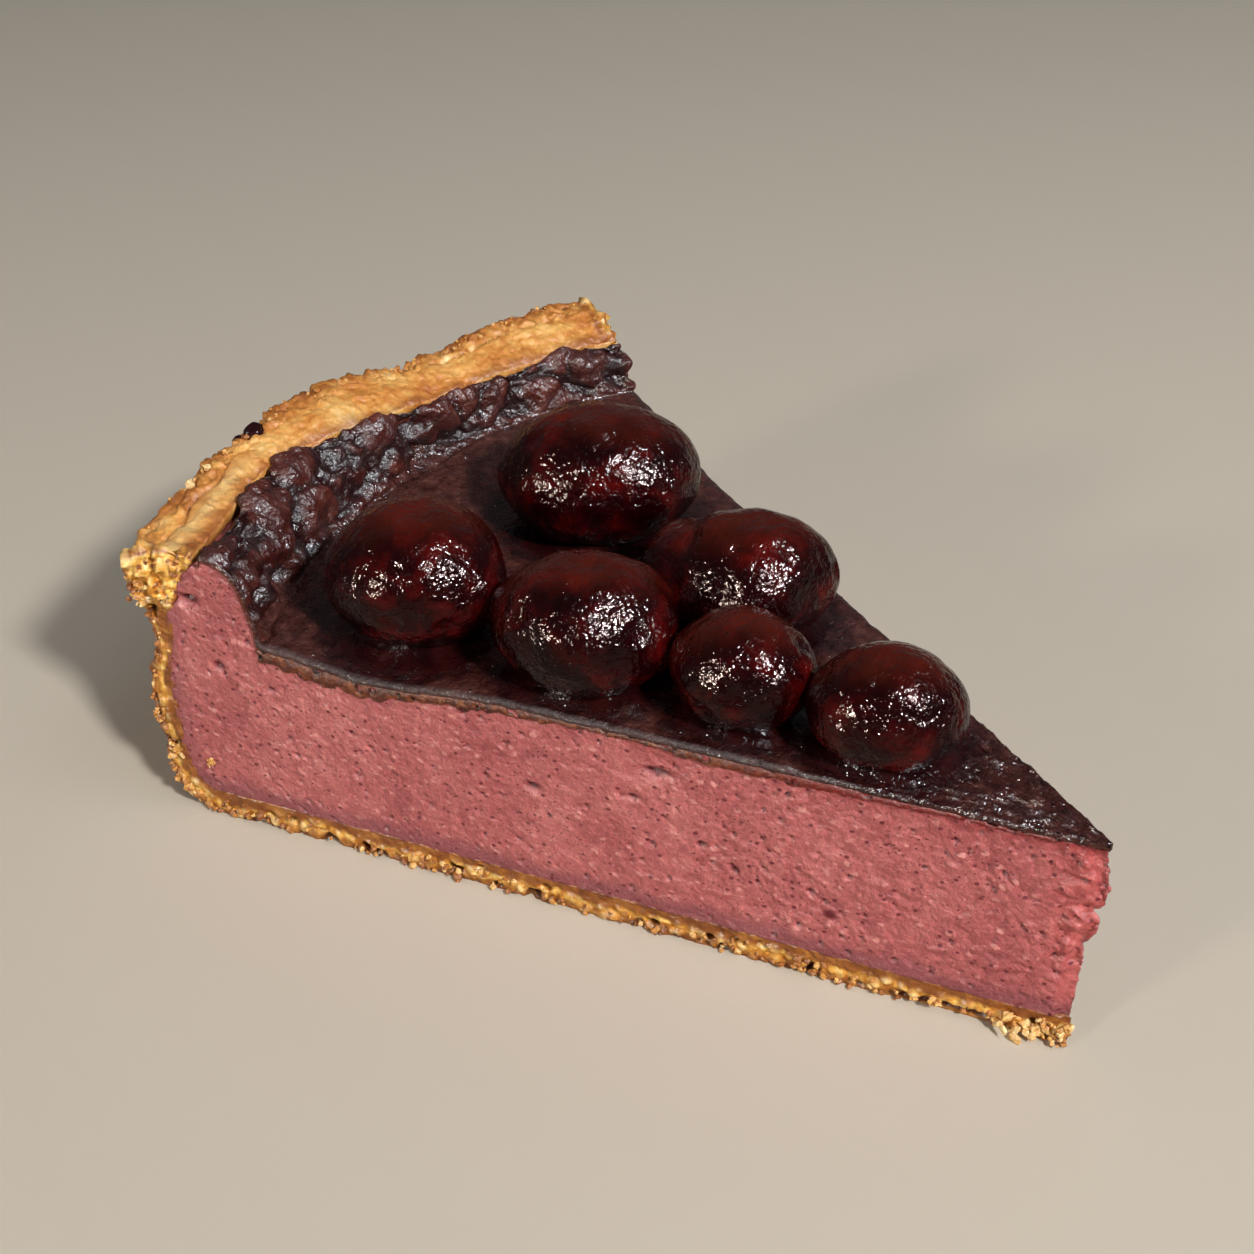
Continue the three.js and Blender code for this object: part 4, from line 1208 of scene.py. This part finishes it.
# ------------------------------------------------------------------ crumbs and flakes
def ico():
    g = (1 + 5 ** 0.5) / 2
    v = np.array([(-1, g, 0), (1, g, 0), (-1, -g, 0), (1, -g, 0), (0, -1, g), (0, 1, g), (0, -1, -g), (0, 1, -g), (g, 0, -1), (g, 0, 1), (-g, 0, -1), (-g, 0, 1)], float)
    f = [(0, 11, 5), (0, 5, 1), (0, 1, 7), (0, 7, 10), (0, 10, 11), (1, 5, 9), (5, 11, 4), (11, 10, 2), (10, 7, 6), (7, 1, 8), (3, 9, 4), (3, 4, 2), (3, 2, 6), (3, 6, 8), (3, 8, 9), (4, 9, 5), (2, 4, 11), (6, 2, 10), (8, 6, 7), (9, 8, 1)]
    v = list(v / np.linalg.norm(v[0]))
    mids, out = {}, []

    def mid(i, j):
        key = (min(i, j), max(i, j))
        if key not in mids:
            m = v[i] + v[j]
            v.append(m / np.linalg.norm(m))
            mids[key] = len(v) - 1
        return mids[key]
    for i, j, k in f:
        a, b, c = mid(i, j), mid(j, k), mid(k, i)
        out += [(i, a, c), (j, b, a), (k, c, b), (a, b, c)]
    return np.array(v), np.array(out)


ICO_P, ICO_F = ico()
DICE = np.random.default_rng(20240611)


def make_crumbs():
    P, F, tone, count = [], [], [], 0

    def chunk(centre, size, flat=1.0, shade=None):
        nonlocal count
        turn = DICE.normal(size=(3, 3))
        q, _ = np.linalg.qr(turn)
        if np.linalg.det(q) < 0:
            q[:, 2] *= -1
        scale = size * np.array([1.0, DICE.uniform(0.6, 1.0), flat * DICE.uniform(0.45, 0.9)])
        jag = 1 + 0.5 * noise(ICO_P * 1.3 + DICE.uniform(0, 99, 3), 601)[:, None] + DICE.uniform(-0.08, 0.08, (len(ICO_P), 1))
        p = (ICO_P * jag * scale) @ q.T + centre
        P.append(p)
        F.append(ICO_F + count)
        tone.append(np.full(len(p), DICE.uniform(0.0, 1.0) ** 1.4 * 0.95 if shade is None else shade))
        count += len(p)

    for sd in (-1, 1):
        a = sd * HALF
        out = np.array([np.sin(HALF), sd * np.cos(HALF), 0])
        # along the base, mostly in its lower two thirds
        R = float(reach(a))
        for _ in range(210 if sd < 0 else 170):
            r = DICE.uniform(1.5, R - 7)
            z = abs(DICE.normal(0.9, 0.75))
            if z > 2.7:
                continue
            if sd < 0 and 8.5 < r < 15.5 and z < 1.6 and DICE.random() < 0.8:
                continue
            size = DICE.uniform(0.16, 0.42) * (1.5 if DICE.random() < 0.12 else 1)
            c = place(np.array(r), a, np.array(max(z, size * 0.6))) + out * DICE.uniform(-0.1, 0.45)
            chunk(c, size)
        # up the wall's cut edge, outer side
        for _ in range(80):
            z = DICE.uniform(2.0, 33)
            inset = float(wall_inset(np.array(z), a) + corner_inset(np.array(z)))
            r = R - inset - abs(DICE.normal(0.1, 0.5))
            chunk(place(np.array(r), a, np.array(z)) + out * DICE.uniform(-0.3, 0.45), DICE.uniform(0.16, 0.42))
        # the cut end of the rim
        for _ in range(70):
            f = DICE.uniform(0, 1)
            zt = float(mix(rim_out_z(a), rim_in_z(a), f))
            z = zt - abs(DICE.normal(1.5, 2.4))
            r = R - mix(0.2, float(rim_width(a)), f)
            if z < 27.5 or r < R - float(inner_inset(np.array(z), a)) + 0.5:
                continue
            chunk(place(np.array(r), a, np.array(z)) + out * DICE.uniform(-0.2, 0.5), DICE.uniform(0.18, 0.45))
        # a chunkier lower outside corner
        for _ in range(34):
            th = DICE.uniform(0.15, 1.4)
            r = R - 1.1 - CORNER_W * (1 - math.sin(th)) - DICE.uniform(0, 1.0)
            z = CORNER_H * (1 - math.cos(th)) + DICE.uniform(0, 0.8)
            chunk(place(np.array(r), a, np.array(max(z, 0.5))) + out * DICE.uniform(-0.4, 0.3), DICE.uniform(0.25, 0.6))
    # the broken tip of the base
    for _ in range(90):
        c = np.array([TIP_X + DICE.uniform(-3.6, -0.3), TIP_Y + DICE.uniform(-1.6, 0.7), DICE.uniform(0.5, 2.7)])
        chunk(c, DICE.uniform(0.18, 0.5), shade=DICE.uniform(0.3, 1.0))
    f = -HALF
    out = np.array([np.sin(HALF), -np.cos(HALF), 0])
    for r, z, size, flat, shade in ((5.4, 1.1, 1.5, 0.75, 1.1), (3.6, 1.0, 1.1, 0.8, 1.0), (13.8, 1.5, 0.9, 0.6, 0.95), (8.2, 1.4, 0.8, 0.7, 0.95),
                                    (105.0, 7.6, 0.9, 0.4, 1.0), (104.4, 8.6, 0.7, 0.5, 0.95), (99.8, 8.0, 0.75, 0.45, 0.97), (106.0, 12.5, 0.6, 0.5, 0.9)):
        c = place(np.array(r), f, np.array(z)) + out * 0.1
        for _ in range(int(9 + 8 * size)):
            chunk(c + DICE.normal(size=3) * size * (0.42, 0.42, 0.3), size * DICE.uniform(0.22, 0.5), flat, shade - DICE.uniform(0, 0.35))
    # along the rim's outer edge
    for _ in range(430):
        a = DICE.uniform(-HALF, HALF)
        zt = float(rim_out_z(a))
        f = abs(DICE.normal(0, 0.13))
        r = float(reach(a)) - mix(float(wall_inset(np.array(zt), a)), float(rim_width(a)), f)
        chunk(place(np.array(r), a, np.array(zt + DICE.uniform(-0.9, 0.2) + 0.9 * math.sin(math.pi * min(1, f)))), DICE.uniform(0.14, 0.36), shade=DICE.uniform(0.15, 0.8))
    # scattered over the outside wall
    for _ in range(170):
        a, z = DICE.uniform(-HALF, HALF), DICE.uniform(1.5, 34)
        inset = float(wall_inset(np.array(z), a) + corner_inset(np.array(z)))
        chunk(place(np.array(float(reach(a)) - inset - 0.1), a, np.array(z)), DICE.uniform(0.2, 0.5), shade=DICE.uniform(0.1, 0.7))
    # one pale crumb that sits on the rim
    for a, z, size in ((-14.2, 37.5, 0.75), (-12.4, 37.6, 0.5)):
        a = a * RAD
        chunk(place(np.array(float(reach(a)) - 1.2), a, np.array(float(rim_out_z(a)) + 0.7)), size, 0.8, 1.0)
    P, F = np.concatenate(P), np.concatenate(F)
    P[:, 2] = np.maximum(P[:, 2], 0.02)
    F = np.concatenate([F, F[:, 2:3]], 1)
    return write("pastry_crumbs", P, F, CRUMB_MAT, {"tone": np.concatenate(tone)}, smooth_shade=False)


def make_spill():
    """A dark blob of baked-on juice on the rim's outer edge."""
    U = ball_small
    a = -7.6 * RAD
    zt = float(rim_out_z(a))
    c = place(np.array(float(reach(a)) - 0.9), a, np.array(zt + 0.1))
    parts, faces, n = [], [], 0
    for dx, dy, dz, size in ((0, 0, 0, 1.5), (-0.9, -1.6, -0.7, 0.9), (0.4, 1.7, -0.3, 0.8)):
        jag = 1 + 0.25 * fbm(U[0] * 1.4 + dx, 2, 0.5, 701)[:, None]
        parts.append(U[0] * jag * (size * 0.85, size, size * 0.8) + c + (dx, dy, dz))
        faces.append(U[1] + n)
        n += len(U[0])
    return write("baked_juice", np.concatenate(parts), np.concatenate(faces), SYRUP_MAT)


ball_small = ball(14)

make_crust()
make_custard()
make_skin()
make_film(-1, "film_front")
make_film(1, "film_back")
for i in range(len(FRUITS)):
    make_fruit(i)
make_syrup()
make_crumbs()
make_spill()

# ------------------------------------------------------------------ floor, light, camera
floor = bpy.data.meshes.new("floor")
floor.from_pydata([(-3, -3, 0), (3, -3, 0), (3, 3, 0), (-3, 3, 0)], [], [(0, 1, 2, 3)])
floor_obj = bpy.data.objects.new("floor", floor)
bpy.context.scene.collection.objects.link(floor_obj)
fm = Mat("pale_floor")
fm.set(Base_Color=rgb(202, 194, 180), Roughness=0.9, Specular_IOR_Level=0.0)
floor.materials.append(fm.mat)


def lamp(name, azimuth, elevation, distance, size, power, color, target=(0.0, 0.0, 0.018)):
    light = bpy.data.lights.new(name, "AREA")
    light.shape = "DISK"
    light.size = size
    light.energy = power
    light.color = color
    obj = bpy.data.objects.new(name, light)
    az, el = azimuth * RAD, elevation * RAD
    d = Vector((math.cos(az) * math.cos(el), math.sin(az) * math.cos(el), math.sin(el)))
    obj.location = Vector(target) + d * distance
    obj.rotation_euler = d.to_track_quat("Z", "Y").to_euler()
    bpy.context.scene.collection.objects.link(obj)
    return obj


lamp("key", -12, 40, 0.9, 0.10, 7.4, (1.0, 0.96, 0.91))
lamp("warm_fill", -100, 24, 0.8, 0.10, 1.4, (1.0, 0.90, 0.76))
lamp("sky", 15, 62, 1.2, 0.5, 1.6, (0.86, 0.92, 1.0))
# two soft boxes that only show as reflections in the wet glaze
for name, az, el, dist, size, power, color in (("shine_cool", 2, 45, 0.9, 0.10, 38.0, (0.88, 0.94, 1.0)),
                                               ("shine_warm", -98, 22, 0.8, 0.08, 18.0, (1.0, 0.94, 0.84))):
    lamp(name, az, el, dist, size, power, color).visible_diffuse = False

world = bpy.data.worlds.new("studio")
bpy.context.scene.world = world
world.use_nodes = True
world.node_tree.nodes["Background"].inputs[0].default_value = (0.80, 0.84, 0.92, 1)
world.node_tree.nodes["Background"].inputs[1].default_value = 0.17

cam_data = bpy.data.cameras.new("camera")
cam_data.lens = 1600 / 1254 * 36
cam_data.sensor_width = 36
cam_data.clip_start = 0.01
cam = bpy.data.objects.new("camera", cam_data)
right = Vector((0.74468754, 0.66741326, 0.0))
up = Vector((-0.38398112, 0.42843913, 0.81792323))
fwd = Vector((-0.54589281, 0.60909724, -0.57532737))
m = Matrix((right, up, -fwd)).transposed().to_4x4()
m.translation = Vector((0.09456, -0.11150, 0.12802))
cam.matrix_world = m
bpy.context.scene.collection.objects.link(cam)
bpy.context.scene.camera = cam
bpy.context.scene.view_settings.view_transform = "Standard"
